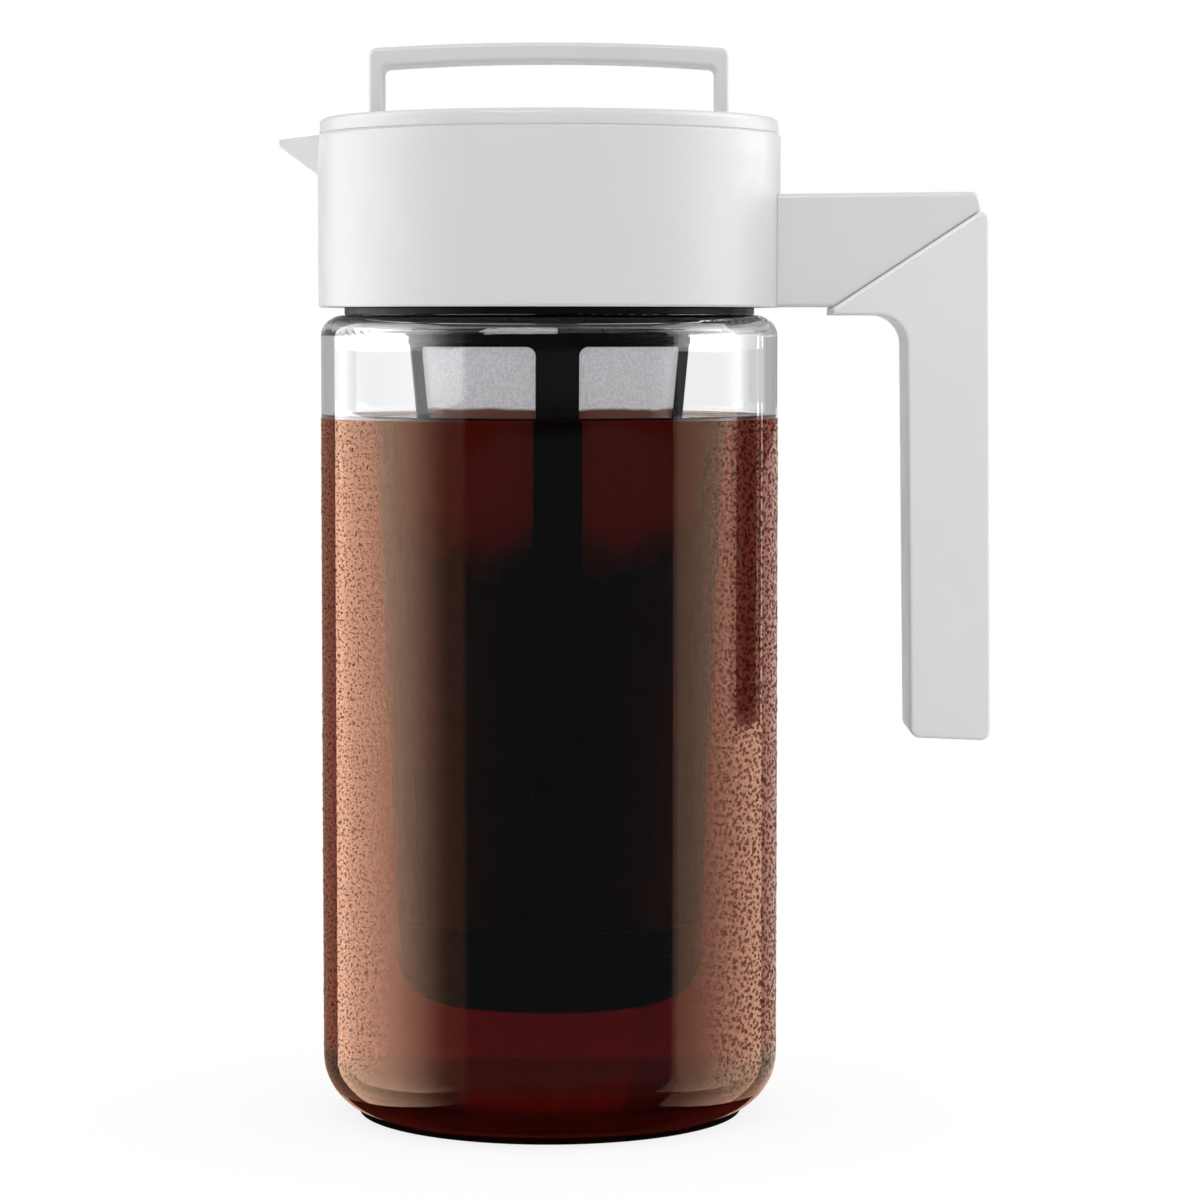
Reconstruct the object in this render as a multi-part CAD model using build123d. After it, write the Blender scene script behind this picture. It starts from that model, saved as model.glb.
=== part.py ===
from build123d import *
import math
import os

# Cold brew coffee maker: a glass carafe, a screw-on spout collar with a side handle, a push-in
# lid with a turning pour shutter, and a mesh infuser that screws into the lid.
#
# Units are millimetres. The origin is the centre of the carafe's base on the table, +Z is up,
# +X points at the handle and -X at the spout. Each piece is one function.

os.makedirs("parts", exist_ok=True)

# ---- clearances between pieces ----
seat_gap = 0.05          # flat faces that rest on each other
close_gap = 0.15         # soft rings in their bores, and faces that slide
slip_gap = 0.30          # rigid pieces that pass or turn in each other
pivot_gap = 0.06         # running fit of the cap's hub on its post

# ---- edges and cuts ----
sharp_break = 0.3        # rounding that only breaks a moulded edge
edge_break = 0.5         # rounding of an edge that a hand meets
overrun = 1.0            # how far a cut runs past the face it opens
bury = 0.5               # how deep a joined shape is sunk in its neighbour

# ---- glass carafe ----
carafe_radius = 51.0
glass_wall = 2.6
base_thickness = 4.0
heel_radius = 12.8
shoulder_height = 178.5
shoulder_width = 7.8     # from the outside of the neck to the side of the glass
shoulder_rounding = 4.7
neck_length = 19.5
neck_foot_rounding = 0.8
rim_flat = 0.2           # what the roundings leave flat on top of the rim

# ---- thread between the neck and the collar ----
neck_thread_pitch = 4.0
neck_thread_depth = 1.1
neck_thread_lift = 5.5   # from the shoulder to the middle of the first turn
neck_thread_turns = 1.5
neck_thread_root = 2.3
neck_thread_crest = 1.1
groove_runout = 2.1      # turns that the collar's groove is longer

# ---- collar: white shell, black liner and the ring under it ----
collar_overhang = 0.5    # how far the collar stands out past the glass
collar_wall = 2.2
collar_gap = 1.7         # height of the dark joint between the glass and the collar
collar_height = 38.2
collar_lip_thickness = 1.6
collar_bottom_chamfer = 0.7
gasket_width = 1.15
liner_lift = 0.1
liner_wall = 2.1
liner_deck_thickness = 2.0
liner_deck_drop = 8.1
liner_shoulder_rounding = 0.8

# ---- spout ----
spout_projection = 8.55
spout_start_inset = 2.5  # how far inside the shell the beak starts
spout_root_width = 27.0
spout_root_depth = 12.6
spout_tip_width = 3.4
spout_tip_drop = 1.0
spout_tip_depth = 1.5
spout_tip_opening = 0.9
spout_wall = 1.5
spout_side_spread = 2.2  # the trough is narrower by this many walls
spout_keel_spread = 1.3  # and shallower by this many
spout_keel_rounding = 1.2
spout_tip_rounding = 0.24

# ---- channel from the lid to the spout ----
channel_width = 15.0
channel_wall = 1.3
channel_inset = 0.2      # from the liner's outside to the channel's
channel_roof = 0.8       # what is left of the liner over the channel
window_margin = 0.5      # from the channel's floor to the pour window

# ---- side handle ----
arm_depth = 22.0
arm_lift = 0.1
arm_height = 25.2
arm_slope_drop = 0.3     # how much the arm's top is lower at the collar
arm_tip_rise = 0.2
arm_tip_inset = 1.4
arm_tip_setback = 1.0
arm_tip_rounding = 0.8
arm_rounding = 1.1
arm_corner_rounding = 2.0
hand_gap = 27.4          # from the collar to the grip
grip_depth = 24.0
grip_top_width = 18.1
grip_bottom_width = 17.9
grip_lean = 1.3
grip_length = 94.3
grip_bow = 0.7
ledge_start = 11.1       # from the collar to the grip's ledge
ledge_drop = 1.8
ledge_rise = 1.6
grip_shoulder_drop = 2.9
grip_inner_fillet = 6.5
grip_rounding = 0.9
grip_top_rounding = 1.7
grip_corner_rounding = 2.2
tongue_thickness = 7.0
tongue_depth = 12.0
tongue_end_wall = 11.8
tongue_root_above = 4.0

# ---- lid cap and its bail ----
cap_inset = 0.5          # how far the cap stands back from the collar
cap_thickness = 3.4
cap_web = 2.6
cap_rim_width = 2.2
cap_rounding = 1.2
bail_span = 79.4
bail_depth = 16.0
bail_leg_thickness = 2.9
bail_strap_thickness = 4.0
bail_height = 16.6
bail_arch = 1.3
bail_corner_rounding = 1.8
bail_inner_rounding = 1.4
bail_edge_rounding = 0.9
hook_reach = 1.2
hook_height = 1.6
hook_drop = 0.9
hook_inset = 2.0         # at each end of a foot

# ---- plug: the fixed lower half of the lid ----
plug_clearance = 1.2
plug_wall = 2.2
plug_floor_lift = 5.5    # above the glass shoulder
plug_floor_thickness = 2.6
plug_foot_rounding = 1.2
plug_flange_overlap = 2.2
plug_flange_thickness = 1.9
plug_seal_thickness = 2.0
lower_seal_lift = 5.5
upper_seal_drop = 1.7
pour_window_angle = 32.0
floor_port_inset = 1.2
floor_port_width = 3.2
floor_port_angle = 16.0
floor_port_pitch = 22.0
post_radius = 5.0
post_foot_rounding = 0.6

# ---- shutter: the turning sleeve under the cap ----
shutter_wall = 1.6
shutter_lift = 0.7
shutter_disc_thickness = 1.8
shutter_hub_radius = 8.0
shutter_hub_length = 8.2
shutter_hub_rise = 1.8
shutter_window_turn = 90.0
cap_boss_height = 6.1
cap_boss_radius = 3.2
cap_screw_inset = 9.3
cap_screw_count = 3
cap_screw_first = 90.0

# ---- fasteners ----
thread_gap = 0.05        # between a screw and the hole it is driven into
hole_end_gap = 0.5
screw_radius = 1.25
screw_head_radius = 2.6
screw_head_height = 1.5
screw_slot_depth = 0.6
screw_slot_width = 0.8
pivot_screw_radius = 1.5
pivot_head_radius = 3.2
pivot_screw_length = 14.0
pivot_washer_radius = 8.0
pivot_washer_thickness = 0.9
handle_screw_radius = 1.5
handle_screw_head_radius = 3.0
handle_screw_head_height = 1.3
handle_screw_length = 16.0
handle_screw_spacing = 11.0

# ---- socket and thread of the infuser ----
socket_inset = 9.1       # from the throat in to the socket
socket_wall = 3.0
socket_length = 8.05
infuser_thread_pitch = 3.0
infuser_thread_depth = 0.9
infuser_thread_lift = 1.4
infuser_thread_turns = 1.4
infuser_thread_root = 1.8
infuser_thread_crest = 0.9
socket_groove_runout = 1.1
infuser_neck_wall = 2.4
infuser_gasket_thickness = 0.8

# ---- infuser ----
ring_thickness = 3.2
ring_step = 0.5
mesh_seat = 1.1
frame_wall = 2.2
frame_inset = 0.3        # the frame's top stands back from the ring
frame_upper_taper = 2.0
frame_lower_taper = 3.8
knee_drop = 21.8
knee_rounding = 60.0
window_drop = 0.25
window_sill = 6.0
window_rounding = 2.0
rib_width = 9.3
rib_count = 4
rib_angle = 4.0
mesh_thickness = 0.4
infuser_floor_gap = 22.0
base_height = 12.0
base_corner_rounding = 9.0
base_wall = 1.8
base_spigot = 1.8
base_lip_rounding = 0.2

# ---- sizes that follow from the ones above: glass and neck ----
neck_radius = carafe_radius - shoulder_width
neck_height = shoulder_height + neck_length
rim_rounding = (glass_wall - rim_flat) / 2
throat_radius = neck_radius - glass_wall
neck_crest_radius = neck_radius + neck_thread_depth
neck_thread_start = shoulder_height + neck_thread_lift

# ---- collar ----
collar_radius = carafe_radius + collar_overhang
collar_inner = collar_radius - collar_wall
collar_bottom = shoulder_height + collar_gap
collar_top = collar_bottom + collar_height
liner_bore = neck_radius + slip_gap
liner_groove_radius = neck_crest_radius + slip_gap
liner_skirt_radius = liner_groove_radius + liner_wall
liner_outer = collar_inner - close_gap
liner_bottom = collar_bottom + liner_lift
liner_deck_top = collar_top - liner_deck_drop
liner_deck_bottom = liner_deck_top - liner_deck_thickness
liner_ledge_bottom = neck_height + slip_gap
collar_lip_inner = liner_skirt_radius + slip_gap
gasket_inner = neck_crest_radius + close_gap + 2 * seat_gap
gasket_outer = gasket_inner + gasket_width
spout_reach = collar_radius + spout_projection

# ---- channel ----
channel_bottom = liner_ledge_bottom
channel_floor = channel_bottom + channel_wall
channel_reach = liner_outer - channel_wall - channel_inset
channel_top = liner_deck_bottom - channel_roof
pour_window_bottom = channel_floor + window_margin
pour_window_top = channel_top - 2 * window_margin

# ---- handle ----
arm_bottom = collar_bottom + arm_lift
arm_top = arm_bottom + arm_height
arm_middle = (arm_bottom + arm_top) / 2
ledge_height = arm_bottom - ledge_drop
mitre_low = ledge_height + ledge_rise
grip_ledge_start = collar_radius + ledge_start
grip_inner_top = collar_radius + hand_gap
grip_outer_top = grip_inner_top + grip_top_width
grip_inner_bottom = grip_inner_top + grip_lean
grip_outer_bottom = grip_inner_bottom + grip_bottom_width
grip_bottom = ledge_height - grip_length
grip_shoulder_height = arm_top - grip_shoulder_drop
arm_reach = grip_outer_top - arm_tip_inset
mitre_slope = (grip_shoulder_height - mitre_low) / (grip_outer_top - grip_ledge_start)
tongue_middle = (grip_inner_bottom + grip_outer_top) / 2
tongue_bottom = grip_bottom + tongue_end_wall

# ---- lid ----
cap_radius = collar_radius - cap_inset
cap_bottom = collar_top + close_gap
cap_top = cap_bottom + cap_thickness
cap_underside = cap_top - cap_web
bail_outer = bail_span / 2
bail_inner = bail_outer - bail_leg_thickness
plug_radius = throat_radius - plug_clearance
plug_inner = plug_radius - plug_wall
plug_floor = shoulder_height + plug_floor_lift
plug_floor_top = plug_floor + plug_floor_thickness
plug_flange_radius = throat_radius + plug_flange_overlap
plug_flange_bottom = liner_deck_top + close_gap
plug_flange_top = plug_flange_bottom + plug_flange_thickness
lower_seal_height = plug_floor + lower_seal_lift
upper_seal_height = liner_deck_top - upper_seal_drop
chimney_radius = plug_flange_radius + slip_gap
seal_section = plug_seal_thickness / 2
seal_ring_radius = throat_radius - close_gap - seal_section
shutter_radius = plug_inner - slip_gap
shutter_inner = shutter_radius - shutter_wall
shutter_bottom = plug_floor_top + shutter_lift
shutter_disc_top = cap_underside - cap_boss_height - seat_gap
shutter_disc_bottom = shutter_disc_top - shutter_disc_thickness
shutter_hub_bottom = shutter_disc_top - shutter_hub_length
shutter_hub_top = shutter_disc_top + shutter_hub_rise
cap_screw_circle = shutter_inner - cap_screw_inset
post_top = shutter_hub_top + seat_gap
washer_bottom = post_top + seat_gap
washer_top = washer_bottom + pivot_washer_thickness

# ---- socket and infuser ----
socket_radius = throat_radius - socket_inset
socket_bore = socket_radius - socket_wall
socket_top = plug_floor - seat_gap
socket_bottom = socket_top - socket_length
floor_port_inner = socket_radius + floor_port_inset
infuser_neck_radius = socket_bore - slip_gap
infuser_neck_bore = infuser_neck_radius - infuser_neck_wall
infuser_crest_radius = infuser_neck_radius + infuser_thread_depth
socket_groove_radius = infuser_crest_radius + slip_gap
infuser_thread_start = socket_bottom + infuser_thread_lift
infuser_thread_end = infuser_thread_start + infuser_thread_turns * infuser_thread_pitch
infuser_neck_top = infuser_thread_end + infuser_thread_root / 2 + 2 * seat_gap
ring_top = socket_bottom - infuser_gasket_thickness - 2 * seat_gap
ring_bottom = ring_top - ring_thickness
window_top = ring_bottom - window_drop
mesh_top = ring_bottom + mesh_seat
frame_top_radius = socket_radius - frame_inset
frame_knee_radius = frame_top_radius - frame_upper_taper
frame_foot_radius = frame_knee_radius - frame_lower_taper
frame_knee_height = ring_bottom - knee_drop
base_bottom = base_thickness + infuser_floor_gap
frame_foot_height = base_bottom + base_height
window_bottom = frame_foot_height + window_sill
mesh_bottom = frame_foot_height + base_spigot + 2 * seat_gap


# ---- helpers ----
def outline(corners):
    """Closed flat outline of (x, y, corner rounding) points."""
    points = [(x, y) for x, y, rounding in corners]
    roundings = [rounding for x, y, rounding in corners]
    return make_face(FilletPolyline(*points, radius=roundings, close=True))


def turned(corners):
    """Solid turned about Z from (radius, height, corner rounding) points."""
    return revolve(Plane.XZ * outline(corners), Axis.Z, 360)


def ring(inner, outer, bottom, top):
    """Plain ring about Z."""
    return turned([(inner, bottom, 0), (outer, bottom, 0), (outer, top, 0), (inner, top, 0)])


def disc(radius, bottom, top, x=0.0, y=0.0):
    """Upright cylinder between two heights."""
    middle = (bottom + top) / 2
    return Pos(x, y, middle) * Cylinder(radius, top - bottom)


def peg(radius, x_low, x_high, height):
    """Cylinder along X at a height."""
    middle = (x_low + x_high) / 2
    return Pos(middle, 0, height) * Rot(0, 90, 0) * Cylinder(radius, x_high - x_low)


def block(x_low, x_high, width, bottom, top):
    """Box centred on the XZ plane."""
    middle = Pos((x_low + x_high) / 2, 0, (bottom + top) / 2)
    return middle * Box(x_high - x_low, width, top - bottom)


def slab(corners, depth):
    """Outline of (x, z, corner rounding) points, as a plate centred on the XZ plane."""
    return extrude(Plane.XZ * outline(corners), depth / 2, both=True)


def rims(shape, depth):
    """Edges on the two flat sides of a plate of that depth."""
    return shape.edges().filter_by(lambda edge: abs(abs(edge.center().Y) - depth / 2) < 0.01)


def thread(inner, outer, root, crest, pitch, start, turns):
    """Helical rib with a tapering section, from the radius inner out to outer."""
    path = Helix(pitch, pitch * turns, inner, center=(0, 0, start))
    section = Plane.XZ * make_face(Polyline(
        (inner, start - root / 2), (outer, start - crest / 2),
        (outer, start + crest / 2), (inner, start + root / 2), close=True))
    return sweep(section, path, is_frenet=True)


def around(shape, count, first=0.0):
    """Copies of a shape, evenly turned about Z."""
    return [Rot(0, 0, first + 360 * index / count) * shape for index in range(count)]


def sector(inner, outer, bottom, top, angle, centre):
    """Ring sector of the given angle, centred on a direction in the XY plane."""
    wedge = Plane.XZ * outline(
        [(inner, bottom, 0), (outer, bottom, 0), (outer, top, 0), (inner, top, 0)])
    return Rot(0, 0, centre - angle / 2) * revolve(wedge, Axis.Z, angle)


def save(name, solids):
    """Write one piece, or one group of equal pieces, to its own file."""
    group = solids if isinstance(solids, list) else [solids]
    bodies = [body for shape in group for body in shape.solids()]
    shape = bodies[0] if len(bodies) == 1 else Compound(children=bodies)
    shape.label = name
    export_step(shape, "parts/" + name + ".step")
    print(name, len(bodies), "solid(s), volume", round(sum(body.volume for body in bodies), 1))


# ---- carafe ----
def carafe_glass():
    """Straight-sided glass with a rounded heel, a flat shoulder and a threaded neck."""
    wall, inside = glass_wall, carafe_radius - glass_wall
    shoulder_under = shoulder_height - wall
    glass = turned([
        (0, 0, 0),
        (carafe_radius, 0, heel_radius),
        (carafe_radius, shoulder_height, shoulder_rounding),
        (neck_radius, shoulder_height, neck_foot_rounding),
        (neck_radius, neck_height, rim_rounding),
        (throat_radius, neck_height, rim_rounding),
        (throat_radius, shoulder_under, wall),
        (inside, shoulder_under, shoulder_rounding - wall),
        (inside, base_thickness, heel_radius - wall),
        (0, base_thickness, 0)])
    rib = thread(neck_radius - bury, neck_crest_radius, neck_thread_root, neck_thread_crest,
                 neck_thread_pitch, neck_thread_start, neck_thread_turns)
    return glass + rib


def neck_gasket():
    """Soft ring between the glass shoulder and the collar."""
    low, high, edge = shoulder_height + seat_gap, liner_bottom - seat_gap, sharp_break
    return turned([(gasket_inner, low, edge), (gasket_outer, low, edge),
                   (gasket_outer, high, edge), (gasket_inner, high, edge)])


# ---- collar ----
def beak(reach, root_width, root_depth, tip_width, tip_top, tip_keel):
    """V-shaped wedge from inside the shell out to a tip; tip heights are from the collar's top."""
    root_x = -(collar_inner - spout_start_inset)
    top = collar_top + max(tip_top, 0)
    root = Plane(origin=(root_x, 0, 0), x_dir=(0, 1, 0), z_dir=(1, 0, 0)) * outline(
        [(-root_width / 2, top, 0), (0, collar_top - root_depth, spout_keel_rounding),
         (root_width / 2, top, 0)])
    tip = Plane(origin=(-reach, 0, 0), x_dir=(0, 1, 0), z_dir=(1, 0, 0)) * outline(
        [(-tip_width / 2, collar_top + tip_top, 0), (0, collar_top + tip_keel, spout_tip_rounding),
         (tip_width / 2, collar_top + tip_top, 0)])
    return loft([root, tip])


def collar_shell():
    """White band round the neck, with the pouring beak on its left."""
    shell = turned([
        (collar_lip_inner, collar_bottom, sharp_break),
        (collar_radius, collar_bottom, collar_bottom_chamfer),
        (collar_radius, collar_top, edge_break),
        (collar_inner, collar_top, edge_break),
        (collar_inner, collar_bottom + collar_lip_thickness, edge_break),
        (collar_lip_inner, collar_bottom + collar_lip_thickness, sharp_break)])
    tip_keel = -(spout_tip_drop + spout_tip_depth)
    outside = beak(spout_reach, spout_root_width, spout_root_depth,
                   spout_tip_width, -spout_tip_drop, tip_keel)
    trough = beak(spout_reach - spout_wall, spout_root_width - spout_side_spread * spout_wall,
                  spout_root_depth - spout_keel_spread * spout_wall,
                  spout_tip_opening, overrun, tip_keel + spout_wall)
    shell = shell + (outside - disc(collar_inner, collar_bottom, collar_top + overrun)) - trough
    for height in handle_screw_heights():
        shell = shell - peg(handle_screw_radius + close_gap, collar_inner - overrun,
                            collar_radius + overrun, height)
    return shell


def collar_liner():
    """Black inner ring: thread for the neck and bore for the lid, notched for the channel."""
    skirt = turned([
        (liner_bore, liner_bottom, sharp_break),
        (liner_skirt_radius, liner_bottom, sharp_break),
        (liner_skirt_radius, liner_deck_bottom, liner_shoulder_rounding),
        (liner_outer, liner_deck_bottom, sharp_break),
        (liner_outer, liner_deck_top, sharp_break),
        (throat_radius, liner_deck_top, edge_break),
        (throat_radius, liner_ledge_bottom, sharp_break),
        (liner_bore, liner_ledge_bottom, sharp_break)])
    groove = thread(liner_bore - bury, liner_groove_radius,
                    neck_thread_root + 2 * slip_gap, neck_thread_crest + 2 * slip_gap,
                    neck_thread_pitch, neck_thread_start - 2 * neck_thread_pitch,
                    neck_thread_turns + groove_runout)
    width = channel_width + 2 * (channel_wall + seat_gap)
    outside = -(liner_outer + overrun)
    notch = block(outside, -(throat_radius - 2 * overrun), width,
                  channel_bottom - seat_gap, channel_top)
    chimney = block(outside, -chimney_radius, width, channel_bottom, liner_deck_top + overrun)
    return skirt - groove - notch - chimney


def spout_channel():
    """Black trough that carries the coffee from the lid's window up to the spout."""
    width = channel_width + 2 * channel_wall
    outer_end = -(channel_reach + channel_wall)
    inner_end = -(throat_radius - 2 * overrun)
    tray = block(outer_end, inner_end, width, channel_bottom, channel_top - seat_gap)
    riser = block(outer_end, -(chimney_radius + seat_gap), width, channel_bottom, liner_deck_top)
    passage = block(-channel_reach, inner_end + overrun, channel_width,
                    channel_floor, liner_deck_top + overrun)
    bore = disc(throat_radius, channel_bottom - overrun, liner_deck_top + overrun)
    return ((tray + riser) & disc(liner_outer, channel_bottom, liner_deck_top)) - passage - bore


def handle_screw_heights():
    """Heights of the screws that hold the handle arm."""
    return [arm_middle - handle_screw_spacing / 2, arm_middle + handle_screw_spacing / 2]


def handle_screws():
    """Two pan-head screws from inside the shell into the arm."""
    screws = []
    head_end = collar_inner - close_gap
    head_start = head_end - handle_screw_head_height
    for height in handle_screw_heights():
        head = peg(handle_screw_head_radius, head_start, head_end, height)
        shank = peg(handle_screw_radius, head_end - bury, head_end + handle_screw_length, height)
        slot = Pos(head_start, 0, height) * Box(
            2 * screw_slot_depth, screw_slot_width, 2 * handle_screw_head_radius)
        screws.append(head + shank - slot)
    return screws


def mitre_height(x):
    """Height of the slanting joint between the arm and the grip at a given X."""
    return mitre_low + mitre_slope * (x - grip_ledge_start)


def handle_arm():
    """Stiff arm screwed to the collar, with a tongue that runs down inside the grip."""
    mitre_start = grip_ledge_start + (arm_bottom - seat_gap - mitre_low) / mitre_slope
    arm = slab([
        (collar_inner, arm_bottom, 0),
        (mitre_start, arm_bottom, edge_break),
        (arm_reach, mitre_height(arm_reach) + seat_gap, arm_tip_rounding),
        (arm_reach - arm_tip_setback, arm_top + arm_tip_rise, arm_corner_rounding),
        (collar_inner, arm_top - arm_slope_drop, 0)], arm_depth)
    arm = fillet(rims(arm, arm_depth), arm_rounding)
    root_height = mitre_height(tongue_middle)
    left, right = tongue_middle - tongue_thickness / 2, tongue_middle + tongue_thickness / 2
    tongue = block(left, right, tongue_depth, tongue_bottom, root_height + tongue_root_above)
    arm = arm + tongue
    arm = arm - disc(collar_radius + seat_gap, collar_bottom - overrun, collar_top)
    for height in handle_screw_heights():
        end = collar_inner - close_gap + handle_screw_length + hole_end_gap
        arm = arm - peg(handle_screw_radius + thread_gap, collar_inner, end, height)
    return arm


def handle_grip():
    """Softer grip below the slanting joint, hollow for the arm's tongue."""
    body = slab([
        (grip_ledge_start, mitre_low, 0),
        (grip_ledge_start, ledge_height, 0),
        (grip_inner_top, ledge_height, grip_inner_fillet),
        (grip_inner_bottom, grip_bottom + grip_bow, grip_corner_rounding),
        (grip_outer_bottom, grip_bottom, grip_corner_rounding),
        (grip_outer_top, grip_shoulder_height, grip_top_rounding)], grip_depth)
    body = fillet(rims(body, grip_depth), grip_rounding)
    half = tongue_thickness / 2 + close_gap
    socket = block(tongue_middle - half, tongue_middle + half, tongue_depth + 2 * close_gap,
                   tongue_bottom - slip_gap, arm_top)
    return body - socket


# ---- lid: cap, bail and shutter ----
def cap_screw_places():
    """Centres of the screws that join the shutter to the cap."""
    angles = [math.radians(cap_screw_first + 360 * index / cap_screw_count)
              for index in range(cap_screw_count)]
    return [(cap_screw_circle * math.cos(a), cap_screw_circle * math.sin(a)) for a in angles]


def lid_cap():
    """Flat white cap with a shallow rim, slots for the bail and bosses for the shutter."""
    rim_inner = cap_radius - cap_rim_width
    cap = turned([
        (0, cap_underside, 0),
        (rim_inner, cap_underside, edge_break),
        (rim_inner, cap_bottom, sharp_break),
        (cap_radius, cap_bottom, sharp_break),
        (cap_radius, cap_top, cap_rounding),
        (0, cap_top, 0)])
    for x, y in cap_screw_places():
        cap = cap + disc(cap_boss_radius, shutter_disc_top + seat_gap, cap_underside + bury, x, y)
    for x, y in cap_screw_places():
        cap = cap - disc(screw_radius + thread_gap, shutter_disc_top, cap_underside - sharp_break,
                         x, y)
    for side in (-1, 1):
        middle = side * (bail_outer + bail_inner) / 2
        half = bail_leg_thickness / 2 + close_gap
        cap = cap - block(middle - half, middle + half, bail_depth + 2 * close_gap,
                          cap_bottom, cap_top + overrun)
    return cap


def lid_handle():
    """Square bail with a slightly arched strap and hooked feet under the cap."""
    end_top = cap_top + bail_height - bail_arch
    end_under = end_top - bail_strap_thickness
    foot = cap_underside - hook_height - hook_drop
    frame = make_face([
        ThreePointArc((-bail_outer, end_top), (0, end_top + bail_arch), (bail_outer, end_top)),
        Line((bail_outer, end_top), (bail_outer, foot)),
        Line((bail_outer, foot), (bail_inner, foot)),
        Line((bail_inner, foot), (bail_inner, end_under)),
        ThreePointArc((bail_inner, end_under), (0, end_under + bail_arch),
                      (-bail_inner, end_under)),
        Line((-bail_inner, end_under), (-bail_inner, foot)),
        Line((-bail_inner, foot), (-bail_outer, foot)),
        Line((-bail_outer, foot), (-bail_outer, end_top))])
    for reach, height, rounding in ((bail_outer, end_top, bail_corner_rounding),
                                    (bail_inner, end_under, bail_inner_rounding)):
        corners = frame.vertices().filter_by(
            lambda v: abs(abs(v.X) - reach) < 0.01 and abs(v.Y - height) < 0.01)
        frame = fillet(corners, rounding)
    bail = extrude(Plane.XZ * frame, bail_depth / 2, both=True)
    rounded = rims(bail, bail_depth).filter_by(lambda edge: edge.center().Z > foot + 0.01)
    bail = fillet(rounded, bail_edge_rounding)
    hook_top = cap_underside - 2 * seat_gap
    for side in (-1, 1):
        bail = bail + slab([
            (side * (bail_inner + bury), hook_top, 0),
            (side * (bail_inner - hook_reach), hook_top, 0),
            (side * (bail_inner + bury), hook_top - hook_height, 0)], bail_depth - 2 * hook_inset)
    return bail


def shutter_sleeve():
    """Black sleeve that turns inside the plug and opens or shuts the pour window."""
    sleeve = turned([
        (shutter_inner, shutter_bottom, sharp_break),
        (shutter_radius, shutter_bottom, sharp_break),
        (shutter_radius, shutter_disc_top, sharp_break),
        (0, shutter_disc_top, 0),
        (0, shutter_disc_bottom, 0),
        (shutter_inner, shutter_disc_bottom, edge_break)])
    sleeve = sleeve + disc(shutter_hub_radius, shutter_hub_bottom, shutter_hub_top)
    sleeve = sleeve - disc(post_radius + pivot_gap, shutter_hub_bottom - overrun,
                           shutter_hub_top + overrun)
    for x, y in cap_screw_places():
        sleeve = sleeve - disc(screw_radius + close_gap, shutter_disc_bottom - overrun,
                               shutter_disc_top + overrun, x, y)
    return sleeve - sector(shutter_inner - overrun, shutter_radius + overrun, pour_window_bottom,
                           pour_window_top, pour_window_angle, 180 - shutter_window_turn)


def shutter_screws():
    """Screws from under the shutter into the cap's bosses."""
    screws = []
    head_top = shutter_disc_bottom - seat_gap
    head_bottom = head_top - screw_head_height
    for x, y in cap_screw_places():
        head = disc(screw_head_radius, head_bottom, head_top, x, y)
        shank = disc(screw_radius, head_top - bury, cap_underside - sharp_break - hole_end_gap, x, y)
        slot = Pos(x, y, head_bottom) * Box(
            2 * screw_head_radius, screw_slot_width, 2 * screw_slot_depth)
        screws.append(head + shank - slot)
    return screws


# ---- lid: plug, socket and seals ----
def lid_plug():
    """Black cup that fills the neck: grooves for the seals, pour window and pivot post."""
    groove_radius = seal_ring_radius - seal_section - seat_gap
    groove_half = seal_section + seat_gap
    corners = [(0, plug_floor, 0), (plug_radius, plug_floor, plug_foot_rounding)]
    for height in (lower_seal_height, upper_seal_height):
        corners += [
            (plug_radius, height - groove_half, 0),
            (groove_radius, height - groove_half, 0),
            (groove_radius, height + groove_half, 0),
            (plug_radius, height + groove_half, 0)]
    corners += [
        (plug_radius, plug_flange_bottom, 0),
        (plug_flange_radius, plug_flange_bottom, sharp_break),
        (plug_flange_radius, plug_flange_top, edge_break),
        (plug_inner, plug_flange_top, sharp_break),
        (plug_inner, plug_floor_top, edge_break),
        (post_radius, plug_floor_top, post_foot_rounding),
        (post_radius, post_top, 0),
        (0, post_top, 0)]
    plug = turned(corners)
    plug = plug - sector(plug_inner - overrun, plug_radius + overrun, pour_window_bottom,
                         pour_window_top, pour_window_angle, 180)
    for step in (-1, 0, 1):
        plug = plug - sector(floor_port_inner, floor_port_inner + floor_port_width,
                             plug_floor - overrun, plug_floor_top + overrun,
                             floor_port_angle, 180 + step * floor_port_pitch)
    screw_bottom = washer_top + seat_gap - pivot_screw_length - hole_end_gap
    return plug - disc(pivot_screw_radius + thread_gap, screw_bottom, post_top + overrun)


def infuser_socket():
    """Black threaded ring under the plug, which the infuser screws into."""
    socket = turned([
        (socket_bore, socket_bottom, sharp_break),
        (socket_radius, socket_bottom, sharp_break),
        (socket_radius, socket_top, 0),
        (socket_bore, socket_top, 0)])
    return socket - thread(socket_bore - bury, socket_groove_radius,
                           infuser_thread_root + 2 * close_gap,
                           infuser_thread_crest + 2 * close_gap, infuser_thread_pitch,
                           infuser_thread_start - infuser_thread_pitch,
                           infuser_thread_turns + socket_groove_runout)


def plug_seal(height):
    """Soft ring of round section in a groove of the plug."""
    section = Plane.XZ * (Pos(seal_ring_radius, height) * Circle(seal_section))
    return revolve(section, Axis.Z, 360)


def pivot_washer():
    """Washer that keeps the shutter's hub down on its post."""
    return ring(pivot_screw_radius + close_gap, pivot_washer_radius, washer_bottom, washer_top)


def pivot_screw():
    """Pan-head screw into the post."""
    head_bottom = washer_top + seat_gap
    head_top = head_bottom + screw_head_height
    head = disc(pivot_head_radius, head_bottom, head_top)
    shank = disc(pivot_screw_radius, head_bottom - pivot_screw_length, head_bottom + bury)
    slot = Pos(0, 0, head_top) * Box(2 * pivot_head_radius, screw_slot_width, 2 * screw_slot_depth)
    return head + shank - slot


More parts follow.
